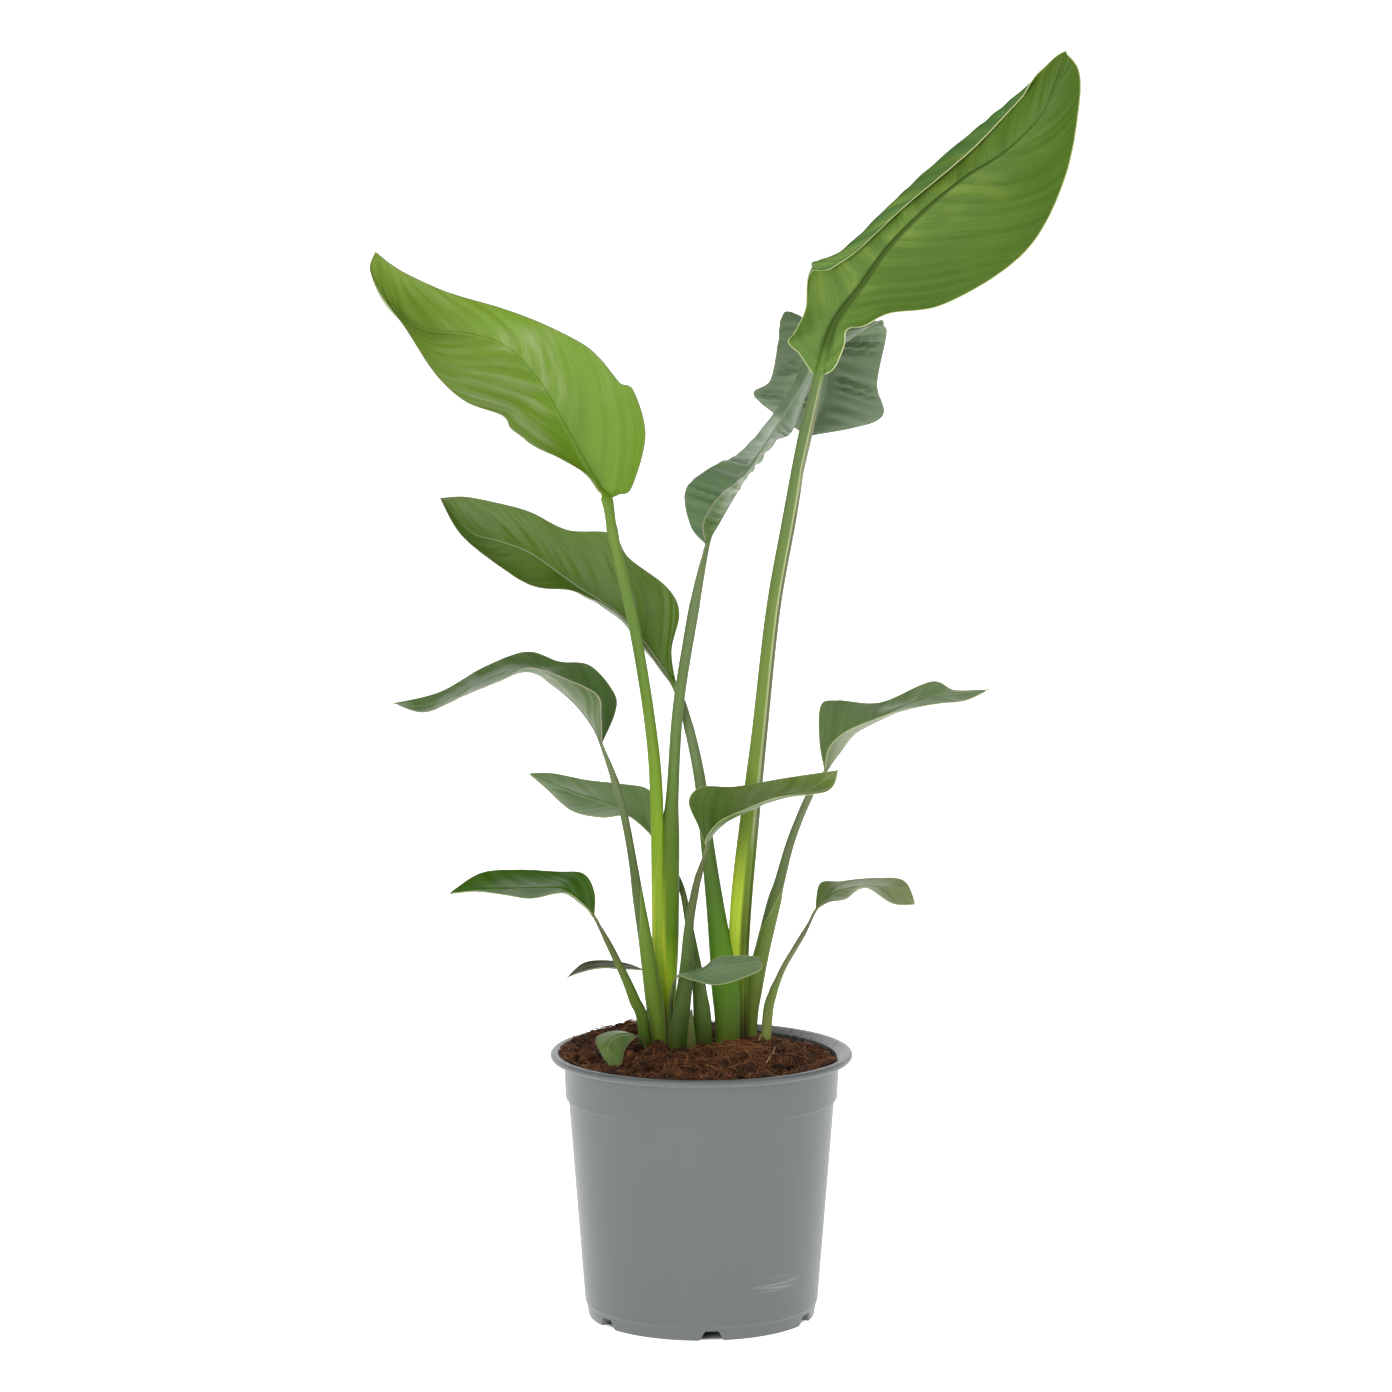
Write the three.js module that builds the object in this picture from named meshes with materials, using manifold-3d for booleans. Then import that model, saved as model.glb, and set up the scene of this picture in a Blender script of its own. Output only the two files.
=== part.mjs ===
// Young bird of paradise plant in a grey nursery pot, in millimetres.
// Z is up, the pot stands on z = 0 round the origin, and -Y is the front.
import * as THREE from "three";
import { mergeVertices } from "three/addons/utils/BufferGeometryUtils.js";
import Module from "manifold-3d";

const wasm = await Module();
wasm.setup();
const { Manifold, Mesh: SolidMesh } = wasm;

// Driving dimensions.
const GAP = 0.5; // clearance between neighbouring pieces
const BLADE = 0.9; // thickness of every leaf blade

const POT = {
  height: 168.4,
  rimRadius: 95,
  rimHeight: 4.6,
  bandTopRadius: 86.5,
  bandBottomRadius: 85.6,
  bandBottom: 139.5,
  bodyTopRadius: 83.7,
  bodyBottomRadius: 73.6,
  footHeight: 8,
  footTopRadius: 72.8,
  footBottomRadius: 71.4,
  wall: 1.5,
  floorTop: 7,
  channelHeight: 4,
  discRadius: 34,
  footInnerRadius: 66,
};
const NOTCHES = { count: 6, firstAngle: 5, bottomWidth: 15, topWidth: 8.5 };

const SOIL = { edge: 163, rings: 6 };
const ROUND = 48; // sides of the round pot and soil

const COLOURS = {
  pot: [0x7f8585, 0.5],
  soil: [0x4c3322, 0.95],
  bright: [0x678934, 0.42],
  lime: [0x7f9f3c, 0.4],
  blueGreen: [0x6f8562, 0.38],
  olive: [0x526c2f, 0.42],
  mid: [0x627a4c, 0.4],
};

// Leaves.
// stem: centre points of the leaf stalk from under the soil upwards, each
//   with its width and depth; a wide lower part is the clasping sheath.
// rib: the midrib of the blade. left and right: the two blade edges at the
//   same stations, seen from above the leaf looking to its tip.
// bow: how far the left and right half bulge to the upper side, as a share
//   of their width. curl: an edge rolled back to the underside.
// channel: the way that the channel of the stalk faces, in degrees from +X
//   towards +Y; near the blade it turns into the blade's upper face.
const LEAVES = {
  leaf_tall_front: {
    colour: "bright",
    channel: -18,
    stem: [
      [24, 18, 140, 8, 13],
      [24, 18, 186, 8.5, 15],
      [24.8, 14, 229, 9, 16.5],
      [27, 8, 268, 9, 17],
      [31.2, 3, 312, 8.5, 15.5],
      [37, -4, 369, 8, 12.4],
      [44.9, -17, 447, 8, 11],
      [54.2, -28, 503, 8, 10.8],
      [64.4, -40, 562, 8, 10],
    ],
    rib: [
      [71, -45, 594],
      [78, -52, 622],
      [86, -57, 637],
      [94, -61, 647],
      [112, -70, 673],
      [133, -80, 695],
      [157, -90, 715],
      [180, -98, 730],
      [200, -105, 750],
      [209, -107, 770],
      [215, -107, 788.4],
    ],
    left: [
      [71, -45, 594],
      [87, -58, 622],
      [98, -68, 626],
      [113, -78, 634],
      [142, -94, 639],
      [177, -108, 659],
      [199, -118, 682],
      [215, -122, 719],
      [222, -118, 758],
      [222, -113, 778],
      [215, -107, 788.4],
    ],
    right: [
      [71, -45, 594],
      [54, -44, 615],
      [65, -45, 637],
      [67, -47, 659],
      [88, -58, 671],
      [113, -68, 694],
      [144, -78, 722],
      [170, -87, 746],
      [195, -97, 770],
      [208, -103, 784],
      [215, -107, 788.4],
    ],
    bow: [0.05, -0.06],
    curl: { radius: 3.2, angle: 200, flat: 10, start: 2.95, full: 3.3, fade: 5.5, end: 8.9 },
  },
  leaf_tall_left: {
    colour: "lime",
    channel: 90,
    stem: [
      [-27, 17, 140, 8, 7],
      [-27, 17, 197, 8, 7],
      [-27.5, 16, 262, 8, 7],
      [-28.4, 16, 330, 8.2, 7.5],
      [-32.6, 18, 376, 7.2, 7],
      [-42, 23, 433, 7, 6.5],
      [-56, 30, 495, 7.2, 6],
    ],
    rib: [
      [-60, 33, 513],
      [-69, 35, 528],
      [-79, 37, 546],
      [-89, 39, 564],
      [-101, 42, 585],
      [-120, 47, 606],
      [-142, 51, 615],
      [-171, 58, 618],
      [-190, 63, 626],
      [-200, 68, 643],
      [-206, 73, 667],
    ],
    left: [
      [-60, 33, 513],
      [-44, 29, 520],
      [-35, 26, 554],
      [-48, 28, 586],
      [-76, 31, 612],
      [-101, 36, 624],
      [-126, 41, 633],
      [-158, 49, 642],
      [-182, 57, 652],
      [-195, 64, 659],
      [-206, 73, 667],
    ],
    right: [
      [-60, 33, 513],
      [-71, 26, 529],
      [-88, 18, 540],
      [-107, 12, 550],
      [-125, 10, 567],
      [-147, 14, 576],
      [-166, 20, 593],
      [-185, 30, 621],
      [-201, 55, 640],
      [-209, 66, 656],
      [-206, 73, 667],
    ],
    bow: [0.06, 0.08],
  },
  leaf_arched_back: {
    colour: "blueGreen",
    channel: 90,
    stem: [
      [-21, 22, 140, 10, 10],
      [-21, 22, 197, 10, 12],
      [-21.7, 20, 232, 14.5, 13],
      [-21.5, 20, 266, 15, 13],
      [-19.8, 19, 302, 12, 12],
      [-18.2, 18, 330, 8, 9],
      [-14.5, 19.5, 385, 7, 7],
      [-4.5, 23, 447, 7, 7],
    ],
    rib: [
      [3, 28, 485],
      [10, 30, 499],
      [20, 33, 516],
      [30, 36, 532],
      [40, 39, 547],
      [52, 44, 566],
      [65, 50, 587],
      [73, 57, 606],
      [80, 70, 621],
      [83, 86, 608],
      [82, 97, 586],
      [77, 103, 564],
      [68, 106, 548],
    ],
    left: [
      [3, 28, 485],
      [-7, 40, 496],
      [-10, 52, 518],
      [7, 62, 532],
      [24, 70, 540],
      [44, 78, 562],
      [61, 86, 588],
      [67, 92, 617],
      [53, 97, 628],
      [49, 96, 610],
      [44, 95, 585],
      [34, 98, 574],
      [68, 106, 548],
    ],
    right: [
      [3, 28, 485],
      [1, 18, 500],
      [11, 10, 517],
      [27, 6, 531],
      [44, 8, 551],
      [56, 14, 557],
      [67, 22, 583],
      [85, 34, 607],
      [112, 50, 622],
      [117, 70, 616],
      [112, 85, 583],
      [114, 92, 560],
      [68, 106, 548],
    ],
    bow: [-0.06, -0.06],
  },
  leaf_olive_left: {
    colour: "olive",
    channel: 90,
    stem: [
      [17, 11, 140, 13, 12],
      [16.5, 11, 184, 16, 13],
      [15.2, 12, 207, 18, 13],
      [12, 13.5, 232, 14.5, 12],
      [8, 15, 263, 11, 10],
      [3.5, 16, 299, 8.4, 8],
      [-1, 18, 338, 7.3, 7],
      [-8, 26, 370, 6.5, 6.5],
    ],
    rib: [
      [-15, 38, 391],
      [-24, 42, 404],
      [-36, 48, 420],
      [-50, 55, 436],
      [-64, 60, 446],
      [-77, 63, 454],
      [-90, 66, 463],
      [-109, 70, 476],
      [-128, 74, 483],
      [-148, 79, 489],
      [-167, 86, 510],
    ],
    left: [
      [-15, 38, 391],
      [-19, 44, 416],
      [-14, 50, 440],
      [-22, 56, 456],
      [-46, 61, 474],
      [-57, 66, 489],
      [-85, 70, 491],
      [-109, 76, 502],
      [-128, 80, 507],
      [-151, 85, 511],
      [-167, 86, 510],
    ],
    right: [
      [-15, 38, 391],
      [-24, 37, 404],
      [-36, 36, 420],
      [-49, 38, 437],
      [-63, 40, 447],
      [-70, 42, 450],
      [-83, 44, 455],
      [-105, 46, 457],
      [-124, 50, 467],
      [-152, 62, 488],
      [-167, 86, 510],
    ],
    bow: [0.06, 0.06],
  },
  leaf_left_upper: {
    colour: "mid",
    channel: 90,
    stem: [
      [-26, 8, 140, 8, 7],
      [-27, 7, 176, 9.5, 8],
      [-30, 6, 200, 11, 8.5],
      [-35, 4, 236, 8.8, 8],
      [-39.5, 2, 264, 7.2, 7],
      [-43.2, -1, 290, 5.3, 5.5],
      [-48, -4, 317, 5, 5],
      [-54.2, -6, 341, 5, 5],
    ],
    rib: [
      [-62, -8, 364],
      [-69, -10, 378],
      [-80, -13, 392],
      [-93, -16, 403],
      [-106, -18, 412],
      [-125, -22, 411],
      [-149, -27, 400],
      [-171, -31, 391],
      [-190, -34, 393],
    ],
    left: [
      [-62, -8, 364],
      [-62, -26, 384],
      [-64, -36, 398],
      [-81, -42, 408],
      [-105, -44, 416],
      [-122, -46, 409],
      [-146, -45, 399],
      [-170, -40, 388],
      [-190, -34, 393],
    ],
    right: [
      [-62, -8, 364],
      [-54, 14, 381],
      [-55, 20, 393],
      [-70, 20, 410],
      [-89, 15, 413],
      [-109, 8, 420],
      [-135, -4, 412],
      [-162, -18, 398],
      [-190, -34, 393],
    ],
    bow: [-0.08, -0.08],
  },
  leaf_right_upper: {
    colour: "mid",
    channel: 90,
    stem: [
      [31, 33, 140, 8, 8],
      [31, 33, 180, 9.5, 9],
      [33.2, 33, 203, 11.8, 9],
      [39, 34, 228, 9.8, 8],
      [46, 34, 257, 9, 8],
      [49.5, 35, 270, 6.8, 7],
      [57, 36, 297, 5.4, 5.5],
      [68, 38, 324, 5, 5],
    ],
    rib: [
      [78, 40, 340],
      [87, 42, 352],
      [97, 44, 364],
      [112, 46, 373],
      [129, 48, 381],
      [148, 50, 387],
      [164, 51, 389],
      [183, 52, 391],
    ],
    left: [
      [78, 40, 340],
      [75, 54, 357],
      [76, 64, 379],
      [87, 67, 382],
      [114, 64, 381],
      [146, 60, 395],
      [161, 56, 390],
      [183, 52, 391],
    ],
    right: [
      [78, 40, 340],
      [80, 28, 356],
      [89, 20, 367],
      [103, 18, 374],
      [125, 24, 381],
      [149, 34, 384],
      [167, 42, 385],
      [183, 52, 391],
    ],
    bow: [-0.06, -0.06],
  },
  leaf_right_lower: {
    colour: "mid",
    channel: 90,
    stem: [
      [40, 32, 140, 5.5, 5.5],
      [42, 31, 184, 7, 6],
      [46, 30, 201, 6, 6],
      [49.5, 29, 207, 5, 5],
      [56.8, 27, 220, 4.2, 4],
      [65, 25, 239, 3.4, 3.5],
    ],
    rib: [
      [72, 22, 254],
      [80, 21, 262],
      [92, 20, 268],
      [105, 19, 270],
      [119, 17, 268],
      [135, 14, 259],
    ],
    left: [
      [72, 22, 254],
      [75, 34, 269],
      [88, 37, 270],
      [107, 37, 272],
      [128, 28, 272],
      [135, 14, 259],
    ],
    right: [
      [72, 22, 254],
      [80, 11, 261],
      [91, 6, 264],
      [102, 4, 272],
      [120, 6, 261],
      [135, 14, 259],
    ],
    bow: [-0.05, -0.05],
  },
  leaf_left_behind: {
    colour: "mid",
    channel: 90,
    stem: [
      [2, 1, 140, 10, 7],
      [0.8, 1, 184, 11.5, 7.5],
      [-1.2, 2, 206, 9, 7],
      [-4.5, 5, 229, 6, 6],
      [-8.4, 15, 249, 4.6, 5],
      [-12.5, 27, 267, 4, 4],
      [-20.5, 34, 283, 4, 4],
    ],
    rib: [
      [-30, 38, 298],
      [-39, 40, 308],
      [-47, 42, 314],
      [-64, 45, 320],
      [-80, 47, 325],
      [-96, 50, 331],
      [-110, 53, 337],
    ],
    left: [
      [-30, 38, 298],
      [-40, 30, 309],
      [-48, 26, 314],
      [-63, 24, 313],
      [-82, 26, 317],
      [-98, 38, 329],
      [-110, 53, 337],
    ],
    right: [
      [-30, 38, 298],
      [-31, 46, 319],
      [-35, 56, 327],
      [-55, 64, 329],
      [-74, 66, 331],
      [-95, 60, 336],
      [-110, 53, 337],
    ],
    bow: [-0.05, -0.05],
  },
  leaf_centre_front: {
    colour: "mid",
    channel: 90,
    stem: [
      [-15.5, -10, 140, 11, 7],
      [-14.5, -10, 178, 12, 8],
      [-12.2, -10, 197, 10.5, 8],
      [-9.5, -11, 221, 9, 7],
      [-7.8, -14, 250, 6, 6],
      [-4.2, -17, 272, 5, 5],
      [-1.5, -19, 284, 4.6, 4.6],
    ],
    rib: [
      [3, -22, 301],
      [6, -24, 309],
      [16, -28, 319],
      [30, -33, 327],
      [48, -38, 335],
      [67, -42, 341],
      [84, -46, 353],
    ],
    left: [
      [3, -22, 301],
      [-2, -14, 313],
      [-8, -8, 328],
      [0, -8, 337],
      [21, -13, 338],
      [52, -24, 345],
      [84, -46, 353],
    ],
    right: [
      [3, -22, 301],
      [3, -33, 309],
      [11, -46, 321],
      [25, -54, 329],
      [47, -58, 338],
      [77, -54, 341],
      [84, -46, 353],
    ],
    bow: [-0.05, -0.05],
  },
  leaf_left_lower: {
    colour: "mid",
    channel: 90,
    stem: [
      [-33, -2, 140, 7, 6],
      [-37, -2, 187, 7.2, 6.5],
      [-42, -3, 201, 7, 6],
      [-47.5, -5, 215, 5.6, 5.5],
      [-59.5, -9, 241, 3.9, 4],
    ],
    rib: [
      [-67, -12, 256],
      [-76, -14, 266],
      [-87, -16, 274],
      [-104, -19, 275],
      [-122, -22, 275],
      [-141, -25, 275],
      [-157, -28, 273],
    ],
    left: [
      [-67, -12, 256],
      [-74, -28, 267],
      [-85, -36, 275],
      [-105, -40, 272],
      [-120, -40, 274],
      [-139, -36, 276],
      [-157, -28, 273],
    ],
    right: [
      [-67, -12, 256],
      [-67, 0, 269],
      [-74, 6, 280],
      [-91, 8, 281],
      [-115, 3, 283],
      [-138, -10, 283],
      [-157, -28, 273],
    ],
    bow: [-0.05, -0.05],
  },
  leaf_small_left: {
    colour: "mid",
    channel: 90,
    stem: [
      [-36, 20, 140, 3, 3],
      [-36, 21, 190, 3, 3],
      [-36, 20.5, 206, 2.5, 2.5],
    ],
    rib: [
      [-36, 19, 216],
      [-50, 18, 218],
      [-64, 16, 219],
      [-77, 13, 217],
      [-85, 10, 213],
    ],
    left: [
      [-36, 19, 216],
      [-50, 9, 219],
      [-64, 6, 220],
      [-76, 6, 217],
      [-85, 10, 213],
    ],
    right: [
      [-36, 19, 216],
      [-47, 27, 219],
      [-62, 27, 221],
      [-75, 22, 220],
      [-85, 10, 213],
    ],
    bow: [-0.05, -0.05],
  },
  leaf_small_front: {
    colour: "mid",
    channel: 90,
    stem: [
      [-21, -2, 140, 3, 3],
      [-19.5, -6, 192, 3, 3],
      [-18.5, -13, 206, 2.8, 2.8],
    ],
    rib: [
      [-15, -20, 220],
      [-4, -24, 222],
      [8, -28, 226],
      [23, -31, 227],
      [37, -33, 232],
    ],
    left: [
      [-15, -20, 220],
      [0, -17, 224],
      [9, -16, 232],
      [24, -20, 232],
      [37, -33, 232],
    ],
    right: [
      [-15, -20, 220],
      [-5, -31, 219],
      [7, -40, 218],
      [24, -42, 223],
      [37, -33, 232],
    ],
    bow: [-0.05, -0.05],
  },
  leaf_folded_front: {
    colour: "mid",
    channel: 90,
    stem: [
      [-33, -12, 140, 3.5, 3.5],
      [-35, -13, 172, 3, 3],
    ],
    rib: [
      [-40, -14, 180],
      [-50, -23, 183],
      [-58, -33, 181],
      [-59, -40, 175],
      [-55, -46, 168],
    ],
    left: [
      [-40, -14, 180],
      [-45, -28, 178],
      [-48, -38, 175],
      [-49, -44, 170],
      [-55, -46, 168],
    ],
    right: [
      [-40, -14, 180],
      [-52, -16, 183],
      [-65, -24, 181],
      [-63, -36, 174],
      [-55, -46, 168],
    ],
    bow: [0, 0],
  },
};

// A young pointed shoot at the foot of the plant: centre and radius.
const SHOOT = [
  [-6.4, -19.5, 140, 2.4],
  [-6.4, -19.5, 174, 3],
  [-6.4, -19.3, 184, 2.3],
  [-6.4, -18.6, 192, 1.4],
  [-6.3, -18, 198, 0.5],
];

// Small helpers.
const TAU = Math.PI * 2;
const vec = (a) => new THREE.Vector3(a[0], a[1], a[2]);
const clamp = THREE.MathUtils.clamp;
const mix = THREE.MathUtils.lerp;
const ease = (x, a, b) => THREE.MathUtils.smoothstep(x, a, b);

// Smooth curve through rows of numbers, u counted in rows.
function along(rows, u) {
  const last = rows.length - 1;
  const i = clamp(Math.floor(u), 0, last - 1);
  const t = clamp(u - i, 0, 1);
  const a = rows[Math.max(i - 1, 0)];
  const b = rows[i];
  const c = rows[i + 1];
  const d = rows[Math.min(i + 2, last)];
  return b.map((_, k) => {
    const slopeB = (c[k] - a[k]) / 2;
    const slopeC = (d[k] - b[k]) / 2;
    const s = 1 - t;
    return (
      b[k] * (1 + 2 * t) * s * s +
      slopeB * t * s * s +
      c[k] * t * t * (3 - 2 * t) -
      slopeC * t * t * s
    );
  });
}

// Closed triangle mesh from rings of points with the same count in each
// ring, capped at both ends; points that fall together become one.
function skin(rings, flip) {
  const points = [];
  const found = new Map();
  const index = (p) => {
    const key = `${p.x.toFixed(3)},${p.y.toFixed(3)},${p.z.toFixed(3)}`;
    if (!found.has(key)) {
      found.set(key, points.length / 3);
      points.push(p.x, p.y, p.z);
    }
    return found.get(key);
  };
  const faces = [];
  const face = (a, b, c) => {
    if (a !== b && b !== c && c !== a) faces.push(a, b, c);
  };
  const ids = rings.map((ring) => ring.map(index));
  const count = ids[0].length;
  for (let i = 0; i + 1 < ids.length; i += 1) {
    for (let k = 0; k < count; k += 1) {
      const n = (k + 1) % count;
      const [p0, p1, q0, q1] = [ids[i][k], ids[i][n], ids[i + 1][k], ids[i + 1][n]];
      if (flip[k]) {
        face(p0, p1, q0);
        face(p1, q1, q0);
      } else {
        face(p0, p1, q1);
        face(p0, q1, q0);
      }
    }
  }
  const cap = (ring, turn) => {
    const corners = rings[ring].filter((_, k) => ids[ring].indexOf(ids[ring][k]) === k);
    const centre = corners.reduce((s, p) => s.add(p), new THREE.Vector3());
    const hub = index(centre.multiplyScalar(1 / corners.length));
    for (let k = 0; k < count; k += 1) {
      const [a, b] = [ids[ring][k], ids[ring][(k + 1) % count]];
      if (turn) face(hub, a, b);
      else face(hub, b, a);
    }
  };
  cap(0, false);
  cap(ids.length - 1, true);
  return { points, faces };
}

const toSolid = (m) =>
  new Manifold(
    new SolidMesh({
      numProp: 3,
      vertProperties: new Float32Array(m.points),
      triVerts: new Uint32Array(m.faces),
    }),
  );

function toGeometry(solid) {
  const mesh = solid.getMesh();
  const geometry = new THREE.BufferGeometry();
  const stride = mesh.numProp;
  const count = mesh.vertProperties.length / stride;
  const flat = new Float32Array(count * 3);
  for (let i = 0; i < count; i += 1) {
    for (let k = 0; k < 3; k += 1) flat[i * 3 + k] = mesh.vertProperties[i * stride + k];
  }
  geometry.setAttribute("position", new THREE.BufferAttribute(flat, 3));
  geometry.setIndex([...mesh.triVerts]);
  return geometry;
}

// One leaf.
const KEEL = [0, 38, 90, 142, 180].map((a) => (a * Math.PI) / 180);

const CURL_CELLS = 7;

// The folded-over border of a half blade: an arc, then a flat strip.
function curledEdge(curl, v, line, up) {
  const spot = line[line.length - 1].clone();
  const dir = spot.clone().sub(line[line.length - 2]).normalize();
  const fall = 1 - ease(v, curl.fade, curl.end);
  const rise = ease(v, curl.start, curl.full) * fall;
  const roll = ease(v, curl.start - 1.2, curl.full) * Math.min(1, 4 * fall);
  const angle = (mix(20, curl.angle, roll) * Math.PI) / 180;
  const arc = Math.max(mix(1, curl.radius * angle, rise), 0.7 * angle);
  const flat = mix(0.8, curl.flat, rise);
  const bent = CURL_CELLS - 2;
  const points = [];
  for (let j = 1; j <= CURL_CELLS; j += 1) {
    const turn = angle * Math.min(1, (j - 0.5) / bent);
    const step = dir.clone().multiplyScalar(Math.cos(turn)).addScaledVector(up, -Math.sin(turn));
    spot.addScaledVector(step, j <= bent ? arc / bent : flat / 2);
    points.push(spot.clone());
  }
  return points;
}

// Rings of points up the stalk and along the blade. grow widens the stalk
// all round and leaves the blade out, for the hollow it stands in.
function leafRings(leaf, columns, steps, grow) {
  const { stem, rib, left, right, bow, curl } = leaf;
  const azimuth = THREE.MathUtils.degToRad(leaf.channel);
  const stemRows = stem.length;
  const bladeRows = rib.length;
  const path = [...stem.map((r) => r.slice(0, 3)), ...rib];
  const last = path.length - 1;
  const top = stem[stemRows - 1];
  const end = grow ? stemRows - 1 : last;
  const count = Math.round(end * steps);
  const rings = [];
  const edge = (rows, v) => vec(along(rows, clamp(v, 0.4, bladeRows - 1.35)));
  for (let i = 0; i <= count; i += 1) {
    const u = (i / count) * end;
    const v = u - stemRows;
    const at = vec(along(path, u));
    if (i === 0) at.z -= 1.5 * grow;
    const ahead = vec(along(path, Math.min(u + 0.05, last)));
    const behind = vec(along(path, Math.max(u - 0.05, 0)));
    const T = ahead.sub(behind).normalize();
    const hub = edge(rib, v);
    const S = edge(right, v).sub(hub).normalize();
    S.sub(edge(left, v).sub(hub).normalize());
    S.addScaledVector(T, -S.dot(T)).normalize();
    const N = new THREE.Vector3().crossVectors(S, T);
    const facing = new THREE.Vector3(Math.cos(azimuth), Math.sin(azimuth), 0);
    const turn = Math.atan2(facing.dot(S), facing.dot(N)) * (1 - ease(v, -2, 0.1));
    S.applyAxisAngle(T, turn);
    N.applyAxisAngle(T, turn);
    const size = v < -1 ? along(stem.map((r) => r.slice(3)), u) : top.slice(3);
    const slim = v > -1 ? mix(1, 0.2, Math.sqrt(clamp((v + 1) / bladeRows, 0, 1))) : 1;
    const w = size[0] * slim;
    const d = size[1] * slim;
    const inBlade = ease(v, -0.6, 0.6);
    const lift = mix(0.26 * d + grow, 0, inBlade);
    const under = mix(0, -BLADE / 2, inBlade);
    const local = (x, y) => at.clone().addScaledVector(S, x).addScaledVector(N, y);
    const keel = KEEL.map((a) => {
      const [x, y] = [mix(0.5, 0.4, inBlade) * w + 1.1 * grow, 0.5 * d + 1.1 * grow];
      return local(x * Math.cos(a), under - y * Math.sin(a));
    });
    const groove = local(0, lift - mix(0.14 * d, 0.1, inBlade));
    const halves = [left, right].map((rows, n) => {
      const sign = n === 0 ? -1 : 1;
      const from = local(sign * (0.42 * w + grow), lift);
      const to = v > 0 ? vec(along(rows, v)) : from.clone();
      const span = to.distanceTo(from);
      const cells = columns + (curl && n === 1 ? CURL_CELLS : 0);
      if (v <= 0 || span < 1.2 || u >= last) return Array(cells + 1).fill(from);
      const out = to.clone().sub(from);
      const up = new THREE.Vector3().crossVectors(out, T).multiplyScalar(sign).normalize();
      const bend = up.clone().multiplyScalar(2 * bow[n] * span);
      const mid = from.clone().add(to).multiplyScalar(0.5).add(bend);
      const line = [];
      for (let j = 0; j <= columns; j += 1) {
        const t = j / columns;
        const a = from.clone().lerp(mid, t);
        line.push(a.lerp(mid.clone().lerp(to, t), t));
      }
      if (curl && n === 1) line.push(...curledEdge(curl, v, line, up));
      return line;
    });
    rings.push({ at, T, N, keel, groove, halves });
  }
  return rings;
}

// Gives the sheet its thickness and closes it into one skin.
function leafSolid(leaf, columns = 3, steps = 2, grow = 0) {
  const rows = leafRings(leaf, columns, steps, grow);
  const sheet = rows.map((r) => [...[...r.halves[0]].reverse(), r.groove, ...r.halves[1]]);
  const cells = sheet[0].length;
  const hubColumn = rows[0].halves[0].length;
  const rings = sheet.map((row, i) => {
    const before = sheet[Math.max(i - 1, 0)];
    const after = sheet[Math.min(i + 1, sheet.length - 1)];
    const flat = row[0].distanceTo(row[hubColumn - 1]) < 1e-6;
    const flatRight = row[cells - 1].distanceTo(row[hubColumn + 1]) < 1e-6;
    const normal = (j) => {
      const across = row[Math.min(j + 1, cells - 1)].clone().sub(row[Math.max(j - 1, 0)]);
      const length = after[j].clone().sub(before[j]);
      const n = across.cross(length);
      return n.lengthSq() < 1e-9 ? rows[i].N.clone() : n.normalize();
    };
    const point = (j, side) => {
      const still = j < hubColumn ? flat || j === hubColumn - 1 : flatRight || j === hubColumn + 1;
      if (still || j === hubColumn) return row[j].clone();
      return row[j].clone().addScaledVector(normal(j), (side * BLADE) / 2);
    };
    const upper = row.map((_, j) => point(j, 1));
    const lowerRight = [];
    for (let j = cells - 1; j > hubColumn + 1; j -= 1) {
      lowerRight.push(flatRight ? row[hubColumn + 1].clone() : point(j, -1));
    }
    const lowerLeft = [];
    for (let j = hubColumn - 2; j >= 0; j -= 1) {
      lowerLeft.push(flat ? row[hubColumn - 1].clone() : point(j, -1));
    }
    return [...upper, ...lowerRight, ...rows[i].keel, ...lowerLeft];
  });
  const size = rings[0].length;
  const rightEnd = cells + rows[0].halves[1].length - 1;
  const flip = [];
  for (let k = 0; k < size; k += 1) {
    if (k < hubColumn) flip.push(false);
    else if (k < cells - 1) flip.push(true);
    else if (k < rightEnd) flip.push(false);
    else flip.push(k >= rightEnd + KEEL.length - 1);
  }
  return skin(rings, flip);
}

function shootSolid(grow) {
  const rings = SHOOT.map(([x, y, z, r], i) =>
    Array.from({ length: 8 }, (_, k) => {
      const a = (k / 8) * TAU;
      const [c, s] = [(r + grow) * Math.cos(a), (r + grow) * Math.sin(a)];
      return new THREE.Vector3(x + c, y + s, z - (i === 0 ? 1.5 * grow : 0));
    }),
  );
  return toSolid(skin(rings, Array(8).fill(false)));
}

// Pot and soil.
// Points and faces of a closed three.js geometry, for joining and cutting.
function closed(geometry) {
  geometry.deleteAttribute("normal");
  geometry.deleteAttribute("uv");
  const merged = mergeVertices(geometry, 1e-3);
  return { points: [...merged.attributes.position.array], faces: [...merged.index.array] };
}

// Body of revolution round Z from radius and height pairs that start and
// end on the axis.
function turned(profile) {
  const line = profile.map(([r, z]) => new THREE.Vector2(r, z));
  const geometry = new THREE.LatheGeometry(line, ROUND);
  geometry.rotateX(Math.PI / 2);
  return closed(geometry);
}

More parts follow.
